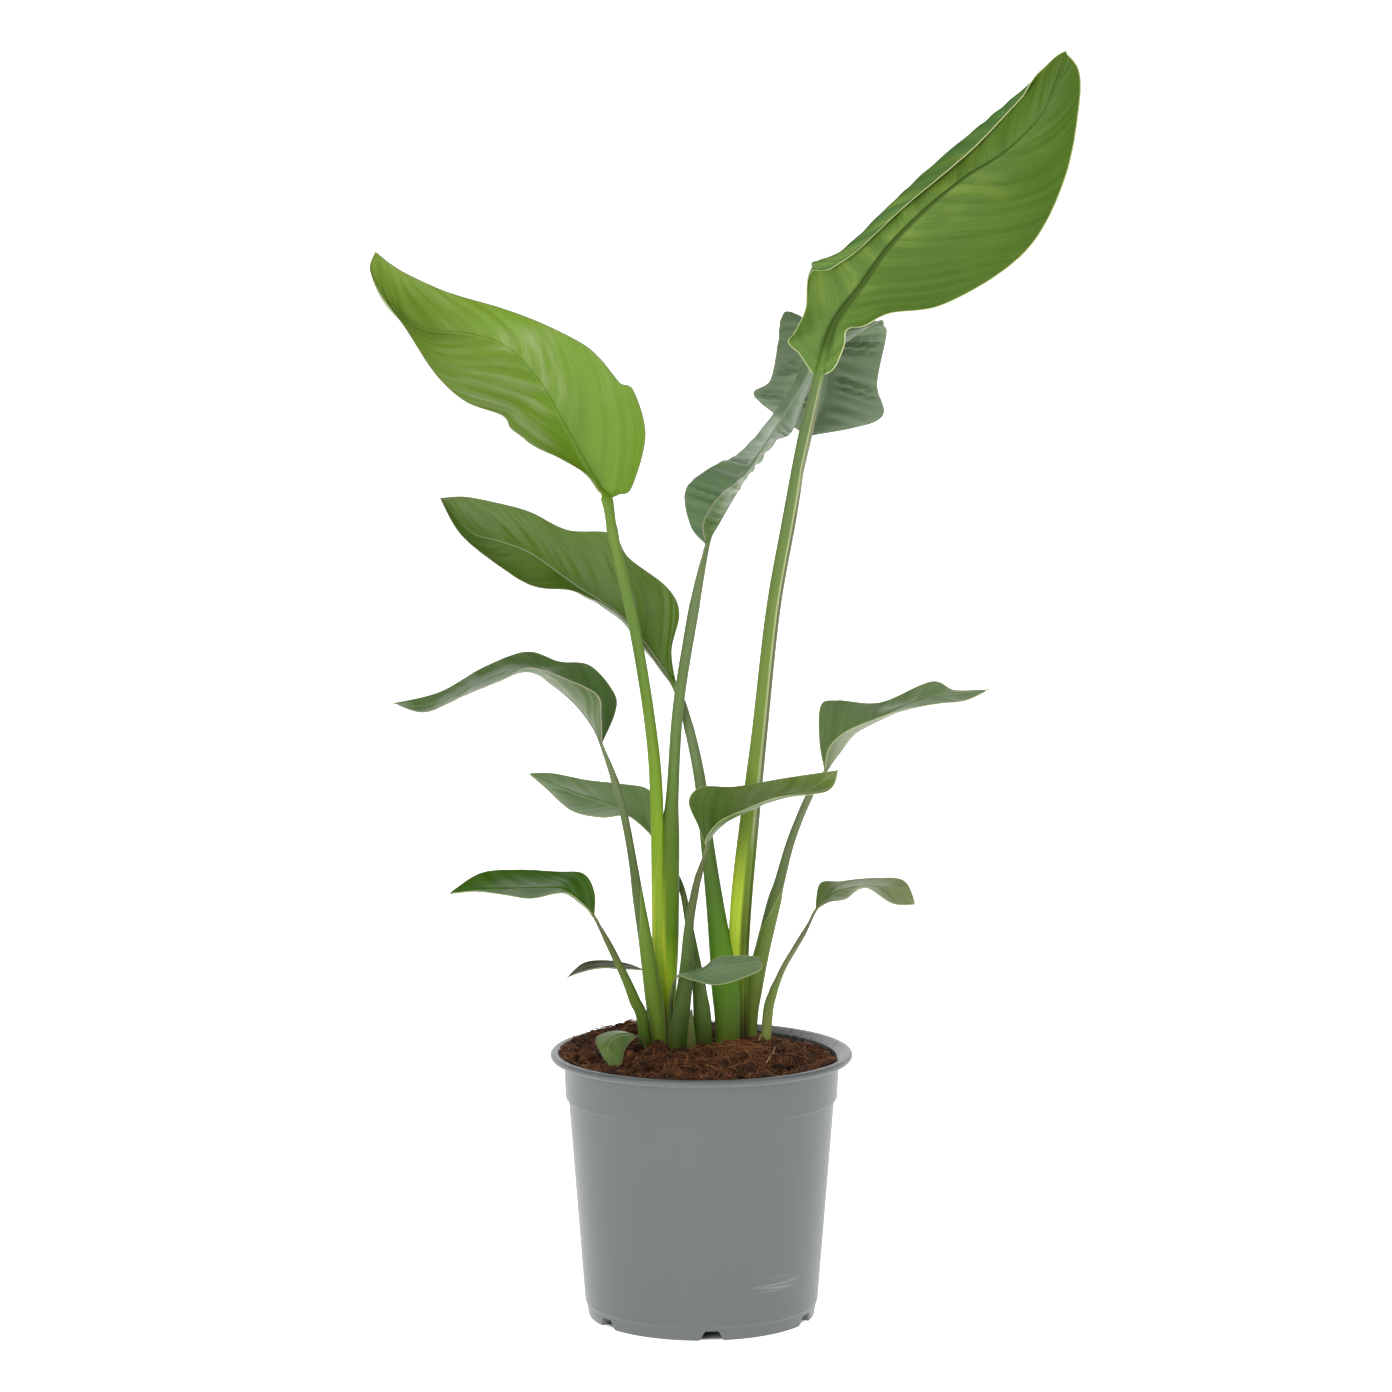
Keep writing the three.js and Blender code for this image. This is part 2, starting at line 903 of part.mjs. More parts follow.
function potSolid() {
  const p = POT;
  const rimBottom = p.height - p.rimHeight;
  const outside = [
    [0, 0],
    [p.discRadius, 0],
    [p.discRadius + 2, p.channelHeight],
    [p.footInnerRadius - 1, p.channelHeight],
    [p.footInnerRadius, 0],
    [p.footBottomRadius, 0],
    [p.footTopRadius, p.footHeight],
    [p.bodyBottomRadius, p.footHeight + 1.2],
    [p.bodyTopRadius, p.bandBottom - 1],
    [p.bandBottomRadius, p.bandBottom],
    [p.bandTopRadius, rimBottom],
    [p.rimRadius - 1.2, rimBottom],
    [p.rimRadius, rimBottom + 1.4],
    [p.rimRadius, p.height - 1.2],
    [p.rimRadius - 1.2, p.height],
  ];
  const inside = [
    [p.rimRadius - 3.6, p.height],
    [p.bandTopRadius - p.wall, p.height - 3],
    [p.bandBottomRadius - p.wall, p.bandBottom + 1],
    [p.bodyTopRadius - p.wall, p.bandBottom - 1.5],
    [p.bodyBottomRadius - p.wall, p.floorTop + 3],
    [p.bodyBottomRadius - p.wall - 2.5, p.floorTop],
    [0, p.floorTop],
  ];
  let pot = toSolid(turned([...outside, ...inside]));
  const outline = new THREE.Shape([
    new THREE.Vector2(-NOTCHES.bottomWidth / 2, -1),
    new THREE.Vector2(NOTCHES.bottomWidth / 2, -1),
    new THREE.Vector2(NOTCHES.topWidth / 2, p.channelHeight),
    new THREE.Vector2(-NOTCHES.topWidth / 2, p.channelHeight),
  ]);
  for (let i = 0; i < NOTCHES.count; i += 1) {
    const angle = NOTCHES.firstAngle + (i * 360) / NOTCHES.count;
    const wedge = new THREE.ExtrudeGeometry(outline, { depth: 20, bevelEnabled: false });
    wedge.rotateX(Math.PI / 2);
    wedge.translate(0, -(p.footInnerRadius - 2), 0);
    wedge.rotateZ((angle * Math.PI) / 180);
    pot = pot.subtract(toSolid(closed(wedge)));
  }
  return pot;
}

// Height of the loose coir and peat over the floor plane.
function soilTop(x, y) {
  const r = Math.hypot(x, y) / 84;
  const heap = 8 * Math.exp(-(((x + 48) / 26) ** 2) - ((y - 62) / 24) ** 2);
  const dip = 4 * Math.exp(-(((x - 58) / 26) ** 2) - ((y - 50) / 26) ** 2);
  const lumps =
    1.1 * Math.sin(x * 0.19 + 1.3) * Math.cos(y * 0.23) +
    0.7 * Math.sin(x * 0.41 - y * 0.37 + 0.6);
  return SOIL.edge + 8 * (1 - r * r) + (lumps + heap - dip) * (1 - 0.35 * r ** 6);
}

function soilSolid() {
  const p = POT;
  const inner = p.wall + GAP;
  const bandRadius = p.bandBottomRadius - inner;
  const profile = [
    [0, p.floorTop + GAP],
    [p.bodyBottomRadius - inner - 2.7, p.floorTop + GAP],
    [p.bodyBottomRadius - inner, p.floorTop + 3],
    [p.bodyTopRadius - inner, p.bandBottom - 1.5],
    [bandRadius, p.bandBottom + 1.4],
  ];
  for (let i = SOIL.rings; i >= 0; i -= 1) profile.push([(bandRadius * i) / SOIL.rings, SOIL.edge]);
  const body = turned(profile);
  for (let i = 0; i < body.points.length; i += 3) {
    const [x, y, z] = body.points.slice(i, i + 3);
    if (z > SOIL.edge - 1) body.points[i + 2] = soilTop(x, y);
  }
  return toSolid(body);
}

// Assembly.
const GRID = {
  leaf_tall_front: [4, 2],
  leaf_tall_left: [4, 2],
  leaf_arched_back: [4, 2],
  leaf_olive_left: [4, 2],
  leaf_left_upper: [3, 2],
  leaf_right_upper: [3, 2],
};

const solids = { pot: potSolid(), soil: soilSolid() };
for (const [name, leaf] of Object.entries(LEAVES)) {
  const [columns, steps] = GRID[name] ?? [3, 2];
  solids[name] = toSolid(leafSolid(leaf, columns, steps));
}

// The two youngest stalks rise out of the sheaths of older leaves.
const NESTED = [
  ["leaf_arched_back", "leaf_tall_left"],
  ["leaf_olive_left", "leaf_tall_front"],
];
for (const [outer, inner] of NESTED) {
  const room = toSolid(leafSolid(LEAVES[inner], 3, 2, GAP));
  solids[outer] = solids[outer].subtract(room);
}

// Every stalk stands in its own plain hole in the soil.
for (const leaf of Object.values(LEAVES)) {
  solids.soil = solids.soil.subtract(toSolid(leafSolid(leaf, 3, 2, GAP)));
}
solids.young_shoot = shootSolid(0);
solids.soil = solids.soil.subtract(shootSolid(GAP));

const root = new THREE.Group();
root.name = "potted_bird_of_paradise";
for (const [name, solid] of Object.entries(solids)) {
  const [colour, roughness] = COLOURS[LEAVES[name]?.colour ?? name] ?? COLOURS.lime;
  const material = new THREE.MeshStandardMaterial({ color: colour, roughness, metalness: 0 });
  material.name = `${name}_surface`;
  const mesh = new THREE.Mesh(toGeometry(solid), material);
  mesh.name = name;
  root.add(mesh);
}

export default root;
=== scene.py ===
"""Young bird of paradise plant in a grey nursery pot: looks, floor, light and camera."""

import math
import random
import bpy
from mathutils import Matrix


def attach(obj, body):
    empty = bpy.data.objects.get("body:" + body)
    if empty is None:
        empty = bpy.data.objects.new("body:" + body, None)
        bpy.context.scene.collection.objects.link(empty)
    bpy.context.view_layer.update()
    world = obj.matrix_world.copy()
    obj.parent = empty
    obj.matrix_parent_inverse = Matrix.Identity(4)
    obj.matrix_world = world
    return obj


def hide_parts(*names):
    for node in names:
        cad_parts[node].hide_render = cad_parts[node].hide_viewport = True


bl_info = {
    "name": "Potted Bird of Paradise",
    "version": (1, 0, 0),
    "blender": (4, 5, 0),
    "location": "View3D > Sidebar > Plant",
    "description": "Builds a young bird of paradise plant in its nursery pot",
    "category": "Object",
}

from functools import partial

import bmesh
import bpy
import numpy as np
from mathutils import Matrix, Vector, noise

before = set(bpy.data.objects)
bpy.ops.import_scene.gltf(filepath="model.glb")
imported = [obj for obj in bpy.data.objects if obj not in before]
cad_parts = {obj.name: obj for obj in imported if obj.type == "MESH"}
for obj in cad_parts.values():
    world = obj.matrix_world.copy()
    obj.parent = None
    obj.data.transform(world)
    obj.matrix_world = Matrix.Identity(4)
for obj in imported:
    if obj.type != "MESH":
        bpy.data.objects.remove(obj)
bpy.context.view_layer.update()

MM = 0.001
BODY = "root"
ALL_SMOOTH = 180  # crease angle in degrees that leaves no edge sharp
POT_CREASE = 35
SOIL_LEVEL = 170  # height at which the stalks leave the soil, in millimetres
CHANNEL = 0.42  # half width of a stalk's channel, as a share of the stalk's width
CHANNEL_DEPTH = 0.32  # as a share of the stalk's depth
RIM_HEIGHT = 0.26  # of the channel's rims over the stalk's centre, as a share of its depth
KEEL_REACH = 0.4  # half width of the keel under a blade, as a share of the midrib's width
KEEL_DEPTH = 0.24  # as a share of the midrib's depth
FIBRE_POINTS = 7  # points along each coir fibre
FIBRE_FIELD = 87  # radius in millimetres of the field where fibres are strewn
CRUMB_FIELD = 83

# One entry per leaf, in millimetres, in the frame of the CAD solids.
# stem: centre of the stalk from under the soil upwards, with its width and
#   depth; a wide lower part is the clasping sheath.
# rib: the midrib. left and right: the two edges at the same stations, seen
#   from above the leaf looking to its tip, without the first and the last
#   station, where they meet the midrib.
# channel: the way that the channel of the stalk faces, in degrees from +X
#   towards +Y, where it isn't 90.
# bow: how far each half bulges to the upper side, as a share of its width.
# curl: an edge rolled back to the underside: radius and degrees of the roll,
#   width of the flat strip past it, and the rows where it starts, is full,
#   begins to fade and ends.
LEAVES = {
    "leaf_tall_front": {
        "stem": (
            (24, 18, 140, 8, 13), (24, 18, 186, 8.5, 15), (24.8, 14, 229, 9, 16.5), (27, 8, 268, 9, 17),
            (31.2, 3, 312, 8.5, 15.5), (37, -4, 369, 8, 12.4), (44.9, -17, 447, 8, 11),
            (54.2, -28, 503, 8, 10.8), (64.4, -40, 562, 8, 10),
        ),
        "rib": (
            (71, -45, 594), (72.6, -46.6, 600.8), (74.8, -49, 610.4), (76.4, -50.6, 616.8), (78, -52, 622),
            (80.3, -53.7, 627.6), (86, -57, 637), (94, -61, 647), (112, -70, 673), (133, -80, 695),
            (157, -90, 715), (180, -98, 730), (200, -105, 750), (209, -107, 770), (215, -107, 788.4),
        ),
        "left": (
            (79.7, -48, 598.6), (84.4, -52.4, 607.9), (86.7, -55.4, 615.3), (87, -58, 622),
            (90.5, -61.2, 624.8), (98, -68, 626), (113, -78, 634), (142, -94, 639), (177, -108, 659),
            (199, -118, 682), (215, -122, 719), (222, -118, 758), (222, -113, 778),
        ),
        "right": (
            (65.9, -44.7, 600.8), (60.7, -44.3, 608.7), (56.7, -44.1, 612.3), (54, -44, 616.3),
            (58.5, -44.1, 622.6), (64.5, -45, 636.6), (67, -47, 659), (88, -58, 671), (113, -68, 694),
            (144, -78, 722), (170, -87, 746), (195, -97, 770), (208, -103, 784),
        ),
        "bow": (0.05, -0.06), "channel": -18,
        "curl": {
            "radius": 3.2, "angle": 200, "flat": 10, "start": 6.95, "full": 7.3, "fade": 9.5, "end": 12.9,
        },
    },
    "leaf_tall_left": {
        "stem": (
            (-27, 17, 140, 8, 7), (-27, 17, 197, 8, 7), (-27.5, 16, 262, 8, 7), (-28.4, 16, 330, 8.2, 7.5),
            (-32.6, 18, 376, 7.2, 7), (-42, 23, 433, 7, 6.5), (-52.6, 28, 478, 6.6, 6.2),
            (-56.2, 30, 495, 7.4, 6.4),
        ),
        "rib": (
            (-59.2, 33, 513), (-63.9, 33.9, 519.4), (-69, 35, 528), (-79, 37, 546), (-85.4, 38.2, 557.5),
            (-89, 39, 564), (-91.7, 39.6, 569), (-95.6, 40.6, 576.5), (-101, 42, 585), (-120, 47, 606),
            (-142, 51, 615), (-171, 58, 618), (-190, 63, 626), (-200, 68, 643), (-206, 73, 667),
        ),
        "left": (
            (-51.7, 31.2, 516.5), (-43.5, 29, 521.4), (-35, 26, 554), (-42.2, 27, 581.6),
            (-50.3, 28, 586.2), (-55.3, 28.6, 592.1), (-64.3, 29.6, 602.9), (-76, 31, 612),
            (-101, 36, 624), (-126, 41, 633), (-158, 49, 642), (-182, 57, 652), (-195, 64, 659),
        ),
        "right": (
            (-64.4, 30, 520.3), (-71, 26, 529), (-88, 18, 540), (-100.3, 13.7, 546), (-107, 12, 550),
            (-111.5, 11.1, 553.9), (-118.7, 10.2, 559.6), (-123.9, 10, 567.4), (-147, 14, 576),
            (-166, 20, 593), (-185, 30, 621), (-201, 55, 640), (-209, 66, 656),
        ),
        "bow": (0.06, 0.08),
    },
    "leaf_arched_back": {
        "stem": (
            (-21, 22, 140, 10, 10), (-21, 22, 197, 10, 12), (-21.7, 20, 232, 14.5, 13),
            (-21.5, 20, 266, 15, 13), (-19.8, 19, 302, 12, 12), (-18.2, 18, 330, 8, 9),
            (-14.5, 19.5, 385, 7, 7), (-4.5, 23, 447, 7, 7),
        ),
        "rib": (
            (3, 28, 485), (10, 30, 499), (20, 33, 516), (30, 36, 532), (40, 39, 547), (52, 44, 566),
            (65, 50, 587), (73, 57, 606), (80, 70, 621), (81.7, 76.4, 618.2), (83, 86, 608), (82, 97, 586),
            (77, 103, 564), (68, 106, 548),
        ),
        "left": (
            (-7, 40, 496), (-10, 52, 518), (7, 62, 532), (24, 70, 540), (44, 78, 562), (61, 86, 588),
            (67, 92, 617), (55.9, 97, 628.4), (50.5, 97, 622.9), (49, 96, 610), (44, 95, 585),
            (34, 98, 574),
        ),
        "right": (
            (1, 18, 500), (11, 10, 517), (27, 6, 531), (44, 8, 551), (56, 14, 557), (67, 22, 583),
            (85, 34, 607), (110.8, 50, 623.6), (115.3, 58, 620.8), (117.1, 70, 614), (112, 85, 583),
            (114, 92, 560),
        ),
        "bow": (-0.06, -0.06),
    },
    "leaf_olive_left": {
        "stem": (
            (17, 11, 140, 13, 12), (16.5, 11, 184, 16, 13), (15.2, 12, 207, 18, 13),
            (12, 13.5, 232, 14.5, 12), (8, 15, 263, 11, 10), (3.5, 16, 299, 8.4, 8), (-1, 18, 338, 7.3, 7),
            (-8, 26, 370, 6.5, 6.5),
        ),
        "rib": (
            (-15, 38, 391), (-24, 42, 404), (-36, 48, 420), (-50, 55, 436), (-64, 60, 446), (-77, 63, 454),
            (-90, 66, 463), (-109, 70, 476), (-128, 74, 483), (-148, 79, 489), (-167, 86, 510),
        ),
        "left": (
            (-19, 44, 416), (-14, 50, 440), (-22, 56, 456), (-46, 61, 474), (-57, 66, 489), (-85, 70, 491),
            (-109, 76, 502), (-128, 80, 507), (-151, 85, 511),
        ),
        "right": (
            (-24, 37, 404), (-36, 36, 420), (-49, 38, 437), (-63, 40, 447), (-70, 42, 450), (-83, 44, 455),
            (-105, 46, 457), (-124, 50, 467), (-152, 62, 488),
        ),
        "bow": (0.06, 0.06),
    },
    "leaf_left_upper": {
        "stem": (
            (-26, 8, 140, 8, 7), (-27, 7, 176, 9.5, 8), (-30, 6, 200, 11, 8.5), (-35, 4, 236, 8.8, 8),
            (-39.5, 2, 264, 7.2, 7), (-43.2, -1, 290, 5.3, 5.5), (-48, -4, 317, 5, 5),
            (-54.2, -6, 341, 5, 5),
        ),
        "rib": (
            (-62, -8, 364), (-69, -10, 378), (-80, -13, 392), (-93, -16, 403), (-106, -18, 412),
            (-125, -22, 411), (-149, -27, 400), (-171, -31, 391), (-190, -34, 393),
        ),
        "left": (
            (-62, -26, 384), (-64, -36, 398), (-81, -42, 408), (-105, -44, 416), (-122, -46, 409),
            (-146, -45, 399), (-170, -40, 388),
        ),
        "right": (
            (-54, 14, 381), (-55, 20, 393), (-70, 20, 410), (-89, 15, 413), (-109, 8, 420),
            (-135, -4, 412), (-162, -18, 398),
        ),
        "bow": (-0.08, -0.08),
    },
    "leaf_right_upper": {
        "stem": (
            (31, 33, 140, 8, 8), (31, 33, 180, 9.5, 9), (33.2, 33, 203, 11.8, 9), (39, 34, 228, 9.8, 8),
            (46, 34, 257, 9, 8), (49.5, 35, 270, 6.8, 7), (57, 36, 297, 5.4, 5.5), (68, 38, 324, 5, 5),
        ),
        "rib": (
            (78, 40, 340), (87, 42, 352), (97, 44, 364), (112, 46, 373), (129, 48, 381), (148, 50, 387),
            (164, 51, 389), (183, 52, 391),
        ),
        "left": (
            (75, 54, 357), (76, 64, 379), (87, 67, 382), (114, 64, 381), (146, 60, 395), (161, 56, 390),
        ),
        "right": (
            (80, 28, 356), (89, 20, 367), (103, 18, 374), (125, 24, 381), (149, 34, 384), (167, 42, 385),
        ),
        "bow": (-0.06, -0.06),
    },
    "leaf_right_lower": {
        "stem": (
            (40, 32, 140, 5.5, 5.5), (42, 31, 184, 6.6, 6), (45.2, 30, 199, 5.8, 5.8),
            (48.6, 29, 208, 4.4, 4.4), (53.2, 27.6, 218.5, 3.7, 3.7), (64.8, 25, 239, 3.4, 3.4),
        ),
        "rib": (
            (72, 22, 254), (80, 21, 262), (92, 20, 268), (105, 19, 270), (119, 17, 268), (135, 14, 259),
        ),
        "left": (
            (75, 34, 269), (88, 37, 270), (107, 37, 272), (128, 28, 272),
        ),
        "right": (
            (80, 11, 261), (91, 6, 264), (102, 4, 272), (120, 6, 261),
        ),
        "bow": (-0.05, -0.05),
    },
    "leaf_left_behind": {
        "stem": (
            (2, 1, 140, 10, 7), (0.8, 1, 184, 11.5, 7.5), (-1.2, 2, 206, 9, 7), (-4.5, 5, 229, 6, 6),
            (-8.4, 15, 249, 4.6, 5), (-12.5, 27, 267, 4, 4), (-20.5, 34, 283, 4, 4),
        ),
        "rib": (
            (-30, 38, 298), (-39, 40, 308), (-47, 42, 314), (-64, 45, 320), (-80, 47, 325), (-96, 50, 331),
            (-110, 53, 337),
        ),
        "left": (
            (-40, 30, 309), (-48, 26, 314), (-63, 24, 313), (-82, 26, 317), (-98, 38, 329),
        ),
        "right": (
            (-31, 46, 319), (-35, 56, 327), (-55, 64, 329), (-74, 66, 331), (-95, 60, 336),
        ),
        "bow": (-0.05, -0.05),
    },
    "leaf_centre_front": {
        "stem": (
            (-15.5, -10, 140, 11, 7), (-14.5, -10, 178, 12, 8), (-12.2, -10, 197, 10.5, 8),
            (-9.5, -11, 221, 9, 7), (-7.8, -14, 250, 6, 6), (-4.2, -17, 272, 5, 5),
            (-1.5, -19, 284, 4.6, 4.6),
        ),
        "rib": (
            (3, -22, 301), (6, -24, 309), (16, -28, 319), (30, -33, 327), (48, -38, 335), (67, -42, 341),
            (84, -46, 353),
        ),
        "left": (
            (-2, -14, 313), (-8, -8, 328), (0, -8, 337), (21, -13, 338), (52, -24, 345),
        ),
        "right": (
            (3, -33, 309), (11, -46, 321), (25, -54, 329), (47, -58, 338), (77, -54, 341),
        ),
        "bow": (-0.05, -0.05),
    },
    "leaf_left_lower": {
        "stem": (
            (-33, -2, 140, 7, 6), (-37, -2, 187, 7.2, 6.5), (-42, -3, 201, 7, 6),
            (-47.5, -5, 215, 5.6, 5.5), (-59.5, -9, 241, 3.9, 4),
        ),
        "rib": (
            (-67, -12, 256), (-76, -14, 266), (-87, -16, 274), (-104, -19, 275), (-122, -22, 275),
            (-141, -25, 275), (-157, -28, 273),
        ),
        "left": (
            (-74, -28, 267), (-85, -36, 275), (-105, -40, 272), (-120, -40, 274), (-139, -36, 276),
        ),
        "right": (
            (-67, 0, 269), (-74, 6, 280), (-91, 8, 281), (-115, 3, 283), (-138, -10, 283),
        ),
        "bow": (-0.05, -0.05),
    },
    "leaf_small_left": {
        "stem": (
            (-33.5, 20, 140, 3, 3), (-33.5, 21, 190, 3, 3), (-34, 20.5, 206, 2.5, 2.5),
        ),
        "rib": (
            (-36, 19, 216), (-50, 18, 218), (-64, 16, 219), (-77, 13, 217), (-85, 10, 213),
        ),
        "left": (
            (-50, 9, 219), (-64, 6, 220), (-76, 6, 217),
        ),
        "right": (
            (-47, 27, 219), (-62, 27, 221), (-75, 22, 220),
        ),
        "bow": (-0.05, -0.05),
    },
    "leaf_small_front": {
        "stem": (
            (-21, -2, 140, 3, 3), (-19.5, -6, 192, 3, 3), (-18.5, -13, 206, 2.8, 2.8),
        ),
        "rib": (
            (-15, -20, 220), (-4, -24, 222), (10, -28, 226), (33.5, -31.5, 230.5), (37, -33, 231),
        ),
        "left": (
            (0, -17, 224), (11, -17, 231), (33, -25.5, 233.2),
        ),
        "right": (
            (-5, -31, 219), (11, -40.5, 218), (35, -38.5, 226),
        ),
        "bow": (-0.05, -0.05),
    },
    "leaf_folded_front": {
        "stem": (
            (-33, -12, 140, 3.5, 3.5), (-35, -13, 172, 3, 3),
        ),
        "rib": (
            (-40, -14, 180), (-50, -24, 183), (-57.5, -36, 180.5), (-58, -47, 174), (-55, -56, 167.6),
        ),
        "left": (
            (-45, -28, 178.5), (-48, -39, 175.5), (-49.5, -50, 170),
        ),
        "right": (
            (-52, -16, 184), (-65.5, -26, 182), (-62, -42, 174),
        ),
        "bow": (0, 0),
    },
}

# How the leaves look. upper and under: colours of the two faces, from the foot
#   of the blade to its tip. stalk: colours by height in millimetres.
# keel: colour of the line on the raised midrib, darker as painted shade, and paler as
#   painted highlight on leaf_olive_left; how strong it is, its reach in ribs, and the share
#   of the blade's length where it is gone.
# sweep: how far a side vein runs on towards the tip for each millimetre that
#   it runs outwards. ripple: height and spacing of the folds between veins.
# calm: station and reach, in rows, of a turn in the blade without folds.
# gloss: roughness of the blade. sheen: specular level of the wax.
# margin and the sheen patches: colour and strength of the edge line, and of pale wax patches that are painted
# sheen.
# flare: how much the foot of the blade widens the stalk, as a share.
# seam: where the rim of the channel lies across the stalk, from -1 to 1, its
#   colour, the colour past it, and the height from which it shows.
# sheath: height of an older sheath's edge, how far the edge rises to the right,
#   and the sheath's colours at the soil and at its edge.
# the sunlit side: painted light, its colour on the left side of a stalk, its heights, and its right limit.
EVERY_LEAF = {
    "slot": "leaf_mid", "keel": ("#4c662a", 0.4, 0.5, 1.1), "sweep": 0.8, "gloss": 0.38, "sheen": 0.26,
    "margin": ("#b9c187", 0.6), "bloom": ("#a9b38a", 0.25), "flare": 0.25,
}
